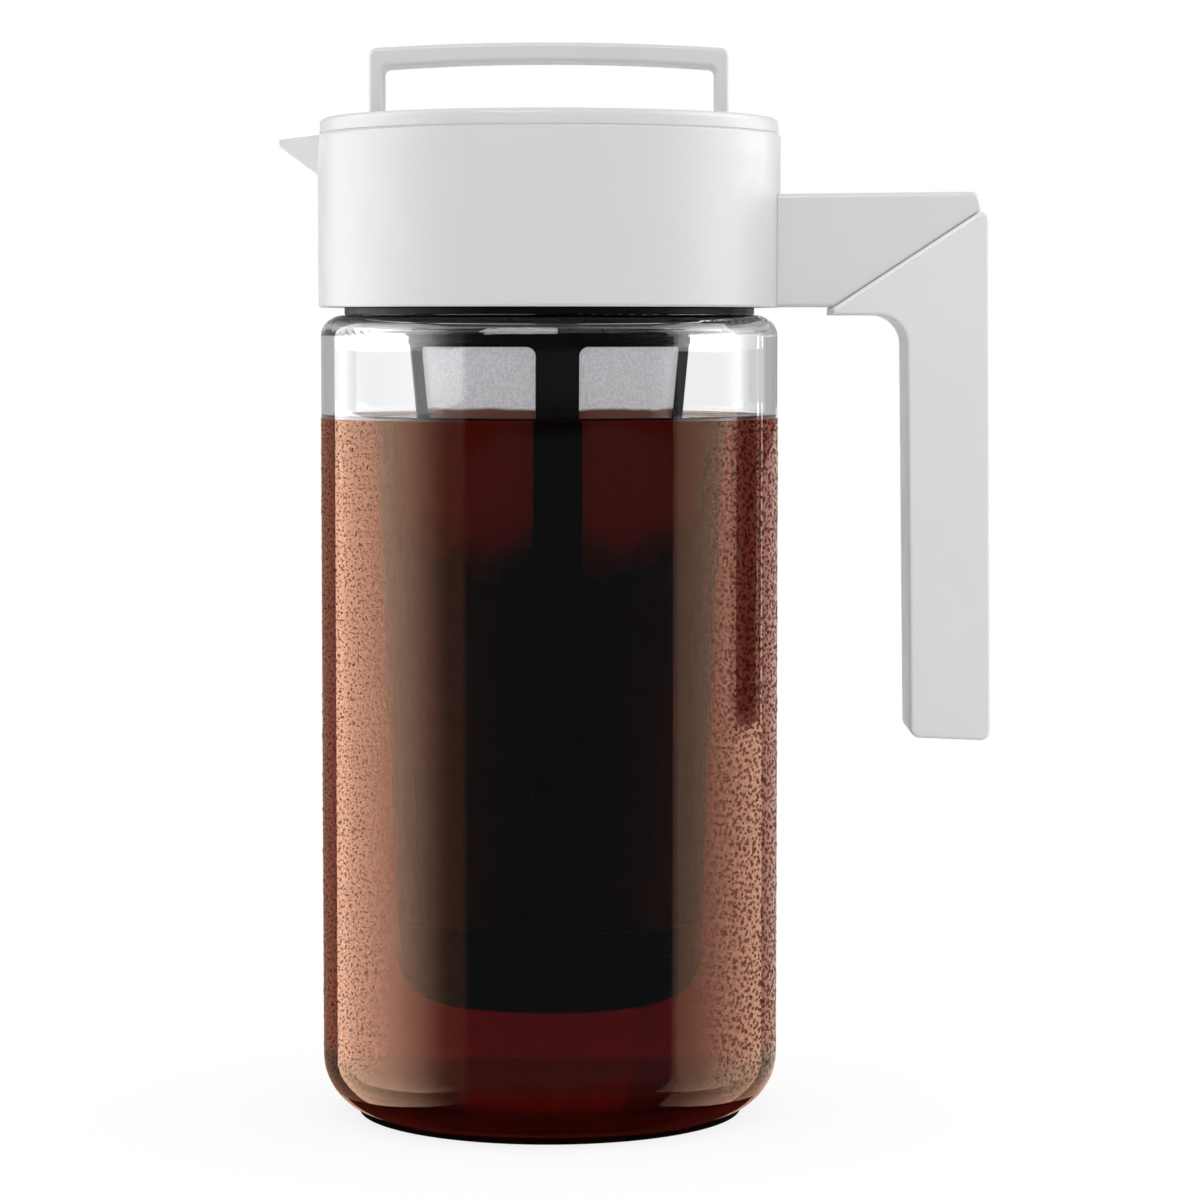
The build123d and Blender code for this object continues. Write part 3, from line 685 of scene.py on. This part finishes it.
@dataclass(frozen=True)
class WetFilm:
    """Brownish film of condensation on the cold glass, with beads at the two sides; its brownish
    tint is painted, darkening and warming the glass's reflections and what shows through it.

    Attributes:
        radius: Outside of the glass.
        passed: What one side of the film lets through where it is thin, a painted warm tint on the
            reflections and on what shows through.
        pale: What it lets through at the outermost strip on the handle's side, painted light that
            leaves that edge lighter.
        painted_light_strip: Places along X at which that lighter strip begins and is full.
        bead_painted_shade: What it lets through under a bead, painted dark specks where the drops
            break up the reflections.
        fine: The small beads.
        coarse: The larger beads between them.
        uneven: Differences in the size of the beads, as a share of their spacing.
        edge: Softness of a bead's edge, as a share of the spacing.
        strength: How strong the beads are at the spout's and at the handle's side.
        sides: Distances from the middle plane at which the beads begin and are closest.
        growth: Places along X up to which the beads are small and from which they are large.
        flatness: Share of the beads' pattern that is laid out as seen from the front.
        heel: Heights up to which there are no beads and from which they are strongest.
    """

    radius: float
    passed: Colour = (0.93, 0.82, 0.745)
    pale: Colour = (0.93, 0.87, 0.82)
    painted_light_strip: Pair = (45.0, 49.0)
    bead_painted_shade: Colour = (0.60, 0.48, 0.42)
    fine: BeadSize = BeadSize(1.3, 0.175, 0.255)
    coarse: BeadSize = BeadSize(2.6, 0.07, 0.18)
    uneven: float = 0.2
    edge: float = 0.05
    strength: Pair = (0.85, 0.9)
    sides: Pair = (30.0, 47.0)
    growth: Pair = (-20.0, 40.0)
    flatness: float = 0.45
    heel: Pair = (4.0, 20.0)

    def spread(self, recipe: Recipe) -> Socket:
        """Lay plane coordinates on the glass, stretched round the sides so that beads look round.

        Args:
            recipe: Material that the nodes are added to.

        Returns:
            Socket of the coordinates, in metres.
        """
        side, depth = recipe.along(Axis.X), recipe.along(Axis.Y)
        angle = recipe.math("ARCTAN2", side, recipe.math("MULTIPLY", depth, -1.0))
        round_it = recipe.math("MULTIPLY", angle, (1 - self.flatness) * self.radius * MM)
        rim = recipe.math("MULTIPLY", recipe.math("SIGN", side), self.radius * MM)
        turned_back = recipe.math("MULTIPLY", recipe.math("SUBTRACT", rim, side), 2.0)
        behind = recipe.math("MULTIPLY", recipe.math("GREATER_THAN", depth, 0.0), turned_back)
        flat = recipe.math("MULTIPLY", recipe.math("ADD", side, behind), self.flatness)
        return recipe.node("ShaderNodeCombineXYZ", {
            "X": recipe.math("ADD", flat, round_it), "Y": recipe.along(Axis.Z)}).outputs[0]

    def beads(self, recipe: Recipe, place: Socket, size: BeadSize) -> Socket:
        """Scatter beads of one size, which grow towards the handle's side.

        Args:
            recipe: Material that the nodes are added to.
            place: Plane coordinates.
            size: Size and spacing of the beads.

        Returns:
            Socket that is 1 on a bead.
        """
        cells = recipe.node("ShaderNodeTexVoronoi", {
            "Vector": place, "Scale": 1 / (size.spacing * MM)}, voronoi_dimensions="2D")
        usual = recipe.rise(recipe.along(Axis.X), self.growth, size.small, size.large)
        radius = recipe.math("ADD", recipe.sway(recipe.noise(500.0, 1.0), self.uneven), usual)
        gap = recipe.math("SUBTRACT", cells.outputs["Distance"], radius)
        return recipe.ramp(gap, -self.edge, self.edge, 1.0, 0.0)

    def material(self) -> Material:
        """Build the material.

        Returns:
            The material.
        """
        recipe = Recipe("wet_film")
        across, place = recipe.along(Axis.X), self.spread(recipe)
        # The beads darken the film in painted dark specks, only at the two sides and away from the
        # heel.
        both = recipe.math("MAXIMUM", self.beads(recipe, place, self.fine),
                           self.beads(recipe, place, self.coarse))
        close = recipe.rise(recipe.math("ABSOLUTE", across), self.sides)
        strong = recipe.math("MULTIPLY", recipe.rise(across, self.growth, *self.strength),
                             recipe.rise(recipe.along(Axis.Z), self.heel))
        share = recipe.math("MULTIPLY", both, recipe.math("MULTIPLY", close, strong))
        # Painted light: the film's warm tint, with a lighter strip at the outermost edge on the
        # handle's side.
        thin = recipe.blend(recipe.rise(across, self.painted_light_strip), self.passed, self.pale)
        film = recipe.node("ShaderNodeBsdfTransparent", {
            "Color": recipe.blend(share, thin, self.bead_painted_shade)})
        return recipe.finish(film.outputs[0])


@dataclass(frozen=True)
class WaterDrop:
    """Drop of water on the outside of the glass.

    Attributes:
        index: Index of refraction.
        gloss: Roughness of the surface.
        bright: Tint of the lightest drops.
        deep: Tint of the darkest drops.
    """

    index: float = 1.33
    gloss: float = 0.02
    bright: Colour = (0.66, 0.58, 0.54)
    deep: Colour = (0.56, 0.48, 0.44)

    def material(self) -> Material:
        """Build the material.

        Returns:
            The material.
        """
        recipe = Recipe("water_drop")
        return recipe.finish(recipe.principled({
            "Base Color": recipe.blend(recipe.noise(400.0), self.bright, self.deep),
            "Roughness": self.gloss, "IOR": self.index, "Transmission Weight": 1.0}))


@dataclass(frozen=True)
class PanelCover:
    """Face of a studio panel, which glass and plastic may mirror at another level than it lights.

    Attributes:
        name: Name of the material.
        near: Strength that shows at near_y.
        far: Strength that shows at far_y.
        near_y: Front end of the change, in metres.
        far_y: Back end of the change.
        lights: Strength that reaches matt surfaces.
        through: Strength that shows to a look straight through the glass.
        colour: Colour that is mirrored through the wet film.
    """

    name: str
    near: float
    far: float
    near_y: float = -1.0
    far_y: float = 1.0
    lights: float = 0.9
    through: float = 1.0
    colour: Colour = WHITE

    def material(self) -> Material:
        """Build the material.

        Returns:
            The material.
        """
        recipe = Recipe(self.name)
        path = recipe.node("ShaderNodeLightPath", {}).outputs
        mirrored = recipe.ramp(recipe.along(Axis.Y), self.near_y, self.far_y, self.near, self.far)
        bounced = recipe.math("MINIMUM", path["Glossy Depth"], 1.0)
        straight = recipe.math("MULTIPLY", path["Is Transmission Ray"],
                               recipe.math("SUBTRACT", 1.0, bounced))
        change = recipe.math("MULTIPLY", straight,
                             recipe.math("SUBTRACT", self.through, mirrored))
        shown = recipe.math("ADD", mirrored, change)

        matt = recipe.math("MINIMUM", path["Diffuse Depth"], 1.0)
        clear = recipe.math("SUBTRACT", 1.0, matt)
        filmed = recipe.math("MULTIPLY", clear,
                             recipe.math("MINIMUM", path["Transparent Depth"], 1.0))
        shader = recipe.node("ShaderNodeEmission", {
            "Color": recipe.blend(filmed, WHITE, self.colour),
            "Strength": recipe.math("ADD", recipe.math("MULTIPLY", matt, self.lights),
                                    recipe.math("MULTIPLY", clear, shown))})
        recipe.material.cycles.emission_sampling = "NONE"
        return recipe.finish(shader.outputs[0])


# ---- meshes ----
def to_object(name: str, made: bmesh.types.BMesh, crease: float = 40.0) -> Piece:
    """Make an object of a finished bmesh.

    Args:
        name: Name of the object and its mesh.
        made: The bmesh, in metres and in place. It is freed.
        crease: Edges sharper than this many degrees stay sharp.

    Returns:
        The object, linked to the scene.
    """
    mesh = bpy.data.meshes.new(name)
    made.to_mesh(mesh)
    made.free()
    mesh.shade_smooth()
    mesh.set_sharp_from_angle(angle=math.radians(crease))
    piece = bpy.data.objects.new(name, mesh)
    bpy.context.scene.collection.objects.link(piece)
    return piece


def turned(corners: Sequence[Triple], steps: int = 160, segments: int = 8) -> bmesh.types.BMesh:
    """Turn an open outline about Z.

    Args:
        corners: (radius, height, corner rounding) of each point in millimetres.
        steps: Faces round the axis.
        segments: Faces across each rounded corner.

    Returns:
        The bmesh, in metres, with its normals outwards.
    """
    made = bmesh.new()
    points = [made.verts.new((radius * MM, 0.0, height * MM)) for radius, height, _ in corners]
    for first, second in zip(points, points[1:]):
        made.edges.new((first, second))
    rounded = [(point, corner[2]) for point, corner in zip(points, corners) if corner[2] > 0]
    for point, rounding in rounded:
        bmesh.ops.bevel(made, geom=[point], offset=rounding * MM, offset_type="OFFSET",
                        segments=segments, profile=0.5, affect="VERTICES", material=-1)
    bmesh.ops.spin(made, geom=made.verts[:] + made.edges[:], cent=(0, 0, 0), axis=(0, 0, 1),
                   angle=2 * math.pi, steps=steps, use_merge=True)
    bmesh.ops.remove_doubles(made, verts=made.verts[:], dist=MERGE_DISTANCE)
    bmesh.ops.recalc_face_normals(made, faces=made.faces[:])
    return made


def dress(pieces: Iterable[Piece], material: Material) -> None:
    """Give pieces a material in place of what they have.

    Args:
        pieces: The pieces.
        material: Their new material.
    """
    for piece in pieces:
        piece.data.materials.clear()
        piece.data.materials.append(material)


def nodes(*names: str) -> list[Piece]:
    """Objects of the named CAD nodes."""
    return [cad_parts[name] for name in names]


# ---- sub-assemblies ----
@dataclass
class Carafe:
    """Glass carafe with the coffee in it and the condensation on it.

    Attributes:
        outer_radius: Outside of the glass.
        outer_heel: Rounding of the outside at the foot.
        inner_radius: Inside of the glass.
        base: Inside floor of the glass.
        heel: Rounding of the inside floor.
        coffee_level: Height of the coffee.
        climb: Distance from the glass, rise and rounding of the points of the coffee's edge.
        overlap: How far the coffee reaches into the glass, so that no air is between them.
        film_gap: How far the film's outside stands off the glass.
        film_thickness: Thickness of the film.
        film_foot: Height at which the film begins.
        film_segments: Faces of the film across the heel.
        drop_count: Number of drops.
        drop_offset: How far the middle of a drop stands off the glass.
        drop_spread: Usual angle between a drop and the side, in degrees.
        drop_limit: Largest such angle.
        spout_share: Share of the drops that sit on the spout's side.
        drop_margin: How far below the coffee's level the highest drops sit.
        drop_sizes: Smallest and largest radius of a drop.
        drop_rarity: How fast larger drops get rarer.
        drop_flatness: Thickness of a drop, as a share of its width.
        drop_tallness: Least and greatest height of a drop, as a share of its width.
        seed: Start of the random draws.
    """

    outer_radius: float = 51.0
    outer_heel: float = 12.8
    inner_radius: float = 48.4
    base: float = 4.0
    heel: float = 10.2
    coffee_level: float = 155.7
    climb: tuple[Triple, ...] = ((0.0, 0.8, 0.0), (0.5, 0.35, 0.2), (2.0, 0.0, 0.6))
    overlap: float = 0.1
    film_gap: float = 0.07
    film_thickness: float = 0.04
    film_foot: float = 1.5
    film_segments: int = 28
    drop_count: int = 1000
    drop_offset: float = 0.02
    drop_spread: float = 7.0
    drop_limit: float = 15.0
    spout_share: float = 0.45
    drop_margin: float = 1.0
    drop_sizes: Pair = (0.13, 0.6)
    drop_rarity: float = 9.0
    drop_flatness: float = 0.35
    drop_tallness: Pair = (0.9, 1.35)
    seed: int = 11

    def build_coffee(self) -> Piece:
        """Build the coffee as one turned body with a raised edge at the glass.

        Returns:
            The coffee.
        """
        wall = self.inner_radius + self.overlap
        floor = self.base - self.overlap
        edge = [(wall - inwards, self.coffee_level + up, rounding)
                for inwards, up, rounding in self.climb]
        body = turned([(0, floor, 0), (wall, floor, self.heel + self.overlap), *edge,
                       (0, self.coffee_level, 0)])
        return to_object("coffee", body, crease=60.0)

    def build_film(self) -> Piece:
        """Build the thin film that stands on the outside of the cold glass.

        Returns:
            The film.
        """
        radius = self.outer_radius + self.film_gap
        film = turned([(radius - self.outer_heel, 0, 0), (radius, 0, self.outer_heel),
                       (radius, self.coffee_level, 0)], segments=self.film_segments)
        bmesh.ops.bisect_plane(
            film, geom=film.verts[:] + film.edges[:] + film.faces[:], dist=CUT_DISTANCE,
            plane_co=(0, 0, self.film_foot * MM), plane_no=(0, 0, 1), clear_inner=True)
        bmesh.ops.solidify(film, geom=film.faces[:], thickness=self.film_thickness * MM)
        return to_object("condensation", film)

    def drop_shape(self, draw: random.Random) -> Matrix:
        """Draw the place and size of one drop.

        Args:
            draw: Source of the random draws.

        Returns:
            What moves, turns and scales a ball of 1 mm radius to the drop.
        """
        spread = abs(draw.gauss(0.0, self.drop_spread))
        side = 180.0 if draw.random() < self.spout_share else 0.0
        angle = math.radians(side + draw.choice((-1, 1)) * min(spread, self.drop_limit))
        height = draw.uniform(self.outer_heel, self.coffee_level - self.drop_margin)
        smallest, largest = self.drop_sizes
        size = min(smallest + draw.expovariate(self.drop_rarity), largest)
        out = self.outer_radius + self.drop_offset
        place = Vector((out * math.cos(angle), out * math.sin(angle), height)) * MM
        scale = (self.drop_flatness * size, size, size * draw.uniform(*self.drop_tallness), 1.0)
        return (Matrix.Translation(place) @ Matrix.Rotation(angle, 4, "Z")
                @ Matrix.Diagonal(scale))

    def build_drops(self) -> Piece:
        """Scatter flat drops over both sides of the glass.

        Returns:
            All the drops as one piece.
        """
        draw = random.Random(self.seed)
        ball = bmesh.new()
        bmesh.ops.create_uvsphere(ball, u_segments=8, v_segments=5, radius=MM)
        bmesh.ops.recalc_face_normals(ball, faces=ball.faces[:])
        pattern = bpy.data.meshes.new("one_drop")
        ball.to_mesh(pattern)
        ball.free()
        made = bmesh.new()
        for _ in range(self.drop_count):
            drop = pattern.copy()
            drop.transform(self.drop_shape(draw))
            made.from_mesh(drop)
            bpy.data.meshes.remove(drop)
        bpy.data.meshes.remove(pattern)
        return to_object("water_drops", made, crease=80.0)

    def build(self) -> list[Piece]:
        """Build, dress and attach the pieces of the carafe.

        Returns:
            The new pieces.
        """
        coffee, film, drops = self.build_coffee(), self.build_film(), self.build_drops()
        dress([coffee], BrewedCoffee().material())
        dress([film], WetFilm(self.outer_radius).material())
        dress([drops], WaterDrop().material())
        for piece in (coffee, film, drops):
            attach(piece, Body.CARAFE.value)
        dress(nodes("carafe_glass"), ClearGlass().material())
        return [coffee, film, drops]


@dataclass
class Infuser:
    """Mesh infuser with wet grounds in it.

    Attributes:
        floor: Height of the inside floor.
        knee: Height at which the base ends and the sleeve begins.
        level: Height of the grounds.
        foot: Radius of the heap at the floor.
        waist: Radius of the heap at the knee.
        head: Radius of the heap where its top begins.
        crown: Distance in from the head, rise above the level and rounding of the top's points.
        peak: How far the middle of the top stands above the level.
        steps: Faces round the heap.
        roughness: Height of the lumps on top.
        lump_depth: How far below the top the lumps begin.
        lump_scales: Lumps per metre, of the large and the small lumps.
    """

    floor: float = 27.9
    knee: float = 40.2
    level: float = 128.0
    foot: float = 19.6
    waist: float = 21.0
    head: float = 25.0
    crown: tuple[Triple, ...] = ((0.0, -4.0, 0.0), (5.0, 0.0, 3.0), (12.0, 1.5, 0.0))
    peak: float = 2.5
    steps: int = 72
    roughness: float = 1.6
    lump_depth: float = 5.0
    lump_scales: Pair = (220.0, 520.0)

    def build_grounds(self) -> Piece:
        """Build the heap of grounds, lumpy on top.

        Returns:
            The heap.
        """
        crown = [(self.head - inwards, self.level + up, rounding)
                 for inwards, up, rounding in self.crown]
        body = turned([(0, self.floor, 0), (self.foot, self.floor, 0), (self.waist, self.knee, 0),
                       *crown, (0, self.level + self.peak, 0)], steps=self.steps)
        top = [edge for edge in body.edges
               if max(vert.co.z for vert in edge.verts) > self.level * MM]
        bmesh.ops.subdivide_edges(body, edges=top, cuts=2, use_grid_fill=True)
        large, small = self.lump_scales
        for vert in body.verts:
            if vert.co.z > (self.level - self.lump_depth) * MM:
                lump = noise.noise(vert.co * large) + 0.5 * noise.noise(vert.co * small)
                vert.co.z += lump * self.roughness * MM
        bmesh.ops.recalc_face_normals(body, faces=body.faces[:])
        return to_object("grounds", body, crease=80.0)

    def build(self) -> list[Piece]:
        """Build, dress and attach the pieces of the infuser.

        Returns:
            The new pieces.
        """
        grounds = self.build_grounds()
        dress([grounds], WetGrounds().material())
        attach(grounds, Body.INFUSER.value)
        dress(nodes("mesh_sleeve"), WovenMesh().material())
        return [grounds]


@dataclass
class Mouldings:
    """Plastic, rubber and steel pieces whose shapes come from the frame.

    Attributes:
        white: Colour of the collar and the lid.
        arm: Colour of the handle's arm.
        grip: Colour of the handle's grip.
        black: Colour of the pieces inside.
        painted_seam_light: Colour of the pale ring under the cap, a painted light line in the
            seam's gap.
        seam_bottom: Height of the ring's lower face.
        seam_top: Height of its upper face.
        seam_radius: Its outside.
        seam_width: Its width.
    """

    white: Colour = (0.735, 0.735, 0.737)
    arm: Colour = (0.78, 0.78, 0.782)
    grip: Colour = (0.85, 0.85, 0.852)
    black: Colour = (0.005, 0.005, 0.0055)
    painted_seam_light: Colour = (0.9, 0.9, 0.9)
    seam_bottom: float = 218.42
    seam_top: float = 218.53
    seam_radius: float = 50.95
    seam_width: float = 1.6

    def dress_nodes(self) -> None:
        """Dress every moulding, seal and screw of the frame."""
        finishes = (
            (MouldedPlastic("white_plastic", self.white, gloss=0.38, sheen=0.42),
             ("collar_shell", "lid_cap", "lid_handle")),
            (MouldedPlastic("arm_plastic", self.arm, gloss=0.2, grain=3.0, bloom=0.25),
             ("handle_arm",)),
            (MouldedPlastic("grip_soft", self.grip, gloss=0.34, grain=0.35, grain_scale=2200.0,
                            bloom=0.12), ("handle_grip",)),
            (MouldedPlastic("black_plastic", self.black, shade=0.2, gloss=0.28),
             ("collar_liner", "spout_channel", "lid_plug", "infuser_socket", "shutter_sleeve")),
            (InfuserPlastic(self.black), ("infuser_frame", "infuser_base")),
            (SoftRubber(), ("neck_gasket", "plug_seal_lower", "plug_seal_upper", "infuser_gasket")),
            (TurnedSteel(), ("handle_screws", "shutter_screws", "pivot_washer", "pivot_screw")))
        for finish, names in finishes:
            dress(nodes(*names), finish.material())

    def build_painted_seam_light(self) -> Piece:
        """Build the thin pale ring in the gap under the cap's rim, painted light in place of the
        seam's shade.

        Returns:
            The ring.
        """
        inner = self.seam_radius - self.seam_width
        ring = turned([(inner, self.seam_bottom, 0), (self.seam_radius, self.seam_bottom, 0),
                       (self.seam_radius, self.seam_top, 0), (inner, self.seam_top, 0),
                       (inner, self.seam_bottom, 0)])
        return to_object("cap_painted_seam_light", ring)

    def build(self) -> list[Piece]:
        """Dress the frame's pieces, and build and attach the pale ring of painted light in the
        cap's seam.

        Returns:
            The new piece.
        """
        self.dress_nodes()
        # Painted light: a pale ring fills the shade of the gap under the cap.
        painted_seam_light = self.build_painted_seam_light()
        dress([painted_seam_light], MouldedPlastic("painted_seam_light_plastic", self.painted_seam_light, gloss=0.5).material())
        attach(painted_seam_light, Body.CAP.value)
        return [painted_seam_light]


# ---- studio ----
@dataclass
class Studio:
    """Floor, light and camera, in metres.

    Attributes:
        white: Level at which the world is looked at.
        ambient: Level at which it lights.
        floor_radius: Radius of the floor.
        floor_height: Height of the floor.
        floor_colour: Colour of the floor.
        floor_shadow: Colour of it that takes the shadow where it is looked at.
        floor_glow: Light that the floor then gives by itself.
        shade_radius: Radius of the dark patch under the carafe.
        shade_colour: Colour of the patch.
        disc_sides: Sides of the floor and of the patch.
        side: Distance of the softboxes from the axis.
        low: Lower edge of the softboxes.
        high: Their upper edge.
        liquid: Height up to which a panel is mirrored in the full part of the glass.
        neck: Height up to which it is mirrored in the empty part.
        cloth: Lower edge, seam from blue to dark, and upper edge of the cloth in front.
        card_seam: Height at which the right card turns from pale to grey.
        camera_place: Place of the camera.
        camera_pitch: Degrees that it looks down.
        lens: Focal length in millimetres.
        sensor: Width of the sensor in millimetres.
    """

    white: float = 1.0
    ambient: float = 0.9
    floor_radius: float = 0.30
    floor_height: float = -0.0003
    floor_colour: Colour = (0.8, 0.8, 0.8)
    floor_shadow: Colour = (0.2, 0.2, 0.2)
    floor_glow: float = 0.84
    shade_radius: float = 0.043
    shade_colour: Colour = (0.03, 0.02, 0.02)
    disc_sides: int = 96
    side: float = 0.95
    low: float = -0.9
    high: float = 1.3
    liquid: float = 0.136
    neck: float = 0.1655
    cloth: Triple = (-1.2, 0.105, 1.6)
    card_seam: float = 0.10
    camera_place: Triple = (0.0113, -0.896, 0.1752)
    camera_pitch: float = 3.86
    lens: float = 120.0
    sensor: float = 36.0

    def build_world(self) -> None:
        """Make a plain world that looks white and lights at a plain level."""
        world = bpy.data.worlds.new("studio")
        bpy.context.scene.world = world
        world.use_nodes = True
        writer = NodeWriter(world.node_tree)
        level = writer.ramp(writer.looked_at(), 0.0, 1.0, self.ambient, self.white)
        shader = writer.node("ShaderNodeBackground", {"Color": WHITE, "Strength": level})
        writer.node("ShaderNodeOutputWorld", {"Surface": shader.outputs[0]})

    def disc(self, name: str, radius: float, height: float) -> Piece:
        """Make a round sheet on the floor.

        Args:
            name: Name of the sheet.
            radius: Its radius.
            height: Its height.

        Returns:
            The sheet.
        """
        made = bmesh.new()
        bmesh.ops.create_circle(made, cap_ends=True, segments=self.disc_sides, radius=radius,
                                matrix=Matrix.Translation((0, 0, height)))
        return to_object(name, made)

    def build_floor(self) -> None:
        """Make the round pale floor under the carafe."""
        floor = self.disc("floor", self.floor_radius, self.floor_height)
        recipe = Recipe("floor")
        plain = recipe.node("ShaderNodeBsdfDiffuse", {"Color": self.floor_colour})
        shadow = recipe.node("ShaderNodeBsdfDiffuse", {"Color": self.floor_shadow})
        glow = recipe.node("ShaderNodeEmission", {"Strength": self.floor_glow})
        lit = recipe.node("ShaderNodeAddShader", {0: shadow.outputs[0], 1: glow.outputs[0]})
        mixed = recipe.node("ShaderNodeMixShader", {
            0: recipe.looked_at(), 1: plain.outputs[0], 2: lit.outputs[0]})
        dress([floor], recipe.finish(mixed.outputs[0]))
        floor.visible_glossy = False
        floor.visible_transmission = False

    def build_shade(self) -> None:
        """Darken the floor where the full carafe stands on it."""
        shade = self.disc("floor_shade", self.shade_radius, self.floor_height / 2)
        recipe = Recipe("floor_shade")
        matt = recipe.node("ShaderNodeBsdfDiffuse", {"Color": self.shade_colour})
        dress([shade], recipe.finish(matt.outputs[0]))

    def hang(self, name: str, made: bmesh.types.BMesh, cover: Material) -> None:
        """Hang a stage panel that the camera doesn't see.

        Args:
            name: Name of the panel.
            made: Its shape. It is freed.
            cover: What it is covered with.
        """
        panel = to_object(name, made)
        dress([panel], cover)
        panel.visible_camera = False

    def hang_upright(self, name: str, corners: Sequence[Pair], low: float, high: float,
                     cover: Material) -> None:
        """Hang an upright panel along a line on the floor.

        Args:
            name: Name of the panel.
            corners: (x, y) of the points of its line.
            low: Lower edge.
            high: Upper edge.
            cover: What it is covered with.
        """
        made = bmesh.new()
        points = [made.verts.new((x, y, low)) for x, y in corners]
        edges = [made.edges.new(pair) for pair in zip(points, points[1:])]
        grown = bmesh.ops.extrude_edge_only(made, edges=edges)["geom"]
        up = [part for part in grown if isinstance(part, bmesh.types.BMVert)]
        bmesh.ops.translate(made, verts=up, vec=(0, 0, high - low))
        self.hang(name, made, cover)

    def build_softboxes(self) -> None:
        """Hang the softboxes, each in bands for the full and the empty glass and the neck."""
        left, right = -self.side, self.side
        full = (self.low, self.liquid)
        empty = (self.liquid, self.neck)
        above = (self.neck, self.high)
        # Each row has the place along X, the front and back end, the band and the cover.
        boxes = (
            (left, -1.06, 0.3, full, PanelCover("left_low", 0.3, 4.8, -0.8, 0.3, through=1.6)),
            (left, 0.3, 0.92, full, PanelCover("left_low_back", 4.8, 5.6, 0.3, 0.85, through=1.6)),
            (left, -1.06, 0.2, empty, PanelCover("left_middle", 2.5, 1.3, -0.7, 0.1)),
            (left, 0.2, 0.92, empty, PanelCover("left_middle_back", 1.4, 3.0, 0.3, 0.92)),
            (left, -1.06, 0.1, above, PanelCover("left_high", 0.2, 6.2, -0.9, 0.1)),
            (left, 0.1, 0.92, above, PanelCover("left_back", 6.2, 3.6, 0.1, 0.6)),
            (right, -0.42, 0.92, full,
             PanelCover("right_low", 1.0, 3.6, -0.42, 0.5, 1.2, through=1.4)),
            (right, -0.42, 0.92, empty, PanelCover("right_middle", 0.4, 0.6, -0.42, 0.5)),
            (right, -0.42, 0.92, above, PanelCover("right_high", 2.1, 4.9, -0.42, 0.1, 1.2)))
        for x, front, back, (bottom, top), cover in boxes:
            self.hang_upright(cover.name, [(x, front), (x, back)], bottom, top, cover.material())

    def build_cloths(self) -> None:
        """Hang the cloth in front, the cards behind, the lamp above and the cloth below."""
        dark = PanelCover("dark_cloth", 0.03, 0.03).material()
        blue = PanelCover("blue_cloth", 0.24, 0.24, colour=(0.28, 0.52, 0.81)).material()
        front = [(-self.side, -1.05), (-0.8, -1.9), (1.2, -1.9), (1.6, -0.8),
                 (self.side + 0.01, -0.43)]
        bottom, seam, top = self.cloth
        self.hang_upright("blue_cloth", front, bottom, seam, blue)
        self.hang_upright("dark_cloth", front, seam, top, dark)

        grey = PanelCover("grey_card", 0.46, 0.46, through=0.8).material()
        pale = PanelCover("pale_card", 1.2, 1.2).material()
        left = [(-self.side, 0.93), (-0.62, 3.4)]
        right = [(self.side, 0.93), (0.62, 3.4)]
        self.hang_upright("card_left", left, self.low, self.high, grey)
        self.hang_upright("card_right", right, self.card_seam, self.high, grey)
        self.hang_upright("card_right_low", right, self.low, self.card_seam, pale)

        lamp = PanelCover("top_card", 9.0, 9.0).material()
        self.hang_upright("top_card", [(-0.95, -1.3), (0.12, -1.3)], 0.8, 1.55, lamp)
        below = bmesh.new()
        bmesh.ops.create_grid(below, x_segments=1, y_segments=1, size=2.0,
                              matrix=Matrix.Translation((0, 0, self.low)))
        under = PanelCover("under_cloth", 0.03, 0.03, through=0.03)
        self.hang("under_cloth", below, under.material())

    def build_camera(self) -> None:
        """Set the camera that shows the whole maker from the front."""
        data = bpy.data.cameras.new("camera")
        data.lens = self.lens
        data.sensor_width = self.sensor
        camera = bpy.data.objects.new("camera", data)
        camera.location = self.camera_place
        camera.rotation_euler = Euler((math.radians(90 - self.camera_pitch), 0, 0))
        bpy.context.scene.collection.objects.link(camera)
        bpy.context.scene.camera = camera

    def build(self) -> None:
        """Build the whole studio."""
        self.build_world()
        self.build_floor()
        self.build_shade()
        self.build_softboxes()
        self.build_cloths()
        self.build_camera()
        bpy.context.scene.view_settings.view_transform = "Standard"


def main() -> None:
    """Build the maker and its studio."""
    logging.basicConfig(level=logging.INFO, format="%(message)s")
    for assembly in (Carafe(), Infuser(), Mouldings()):
        for piece in assembly.build():
            log.info("%s: %d faces", piece.name, len(piece.data.polygons))
    Studio().build()


if __name__ == "__main__":
    main()
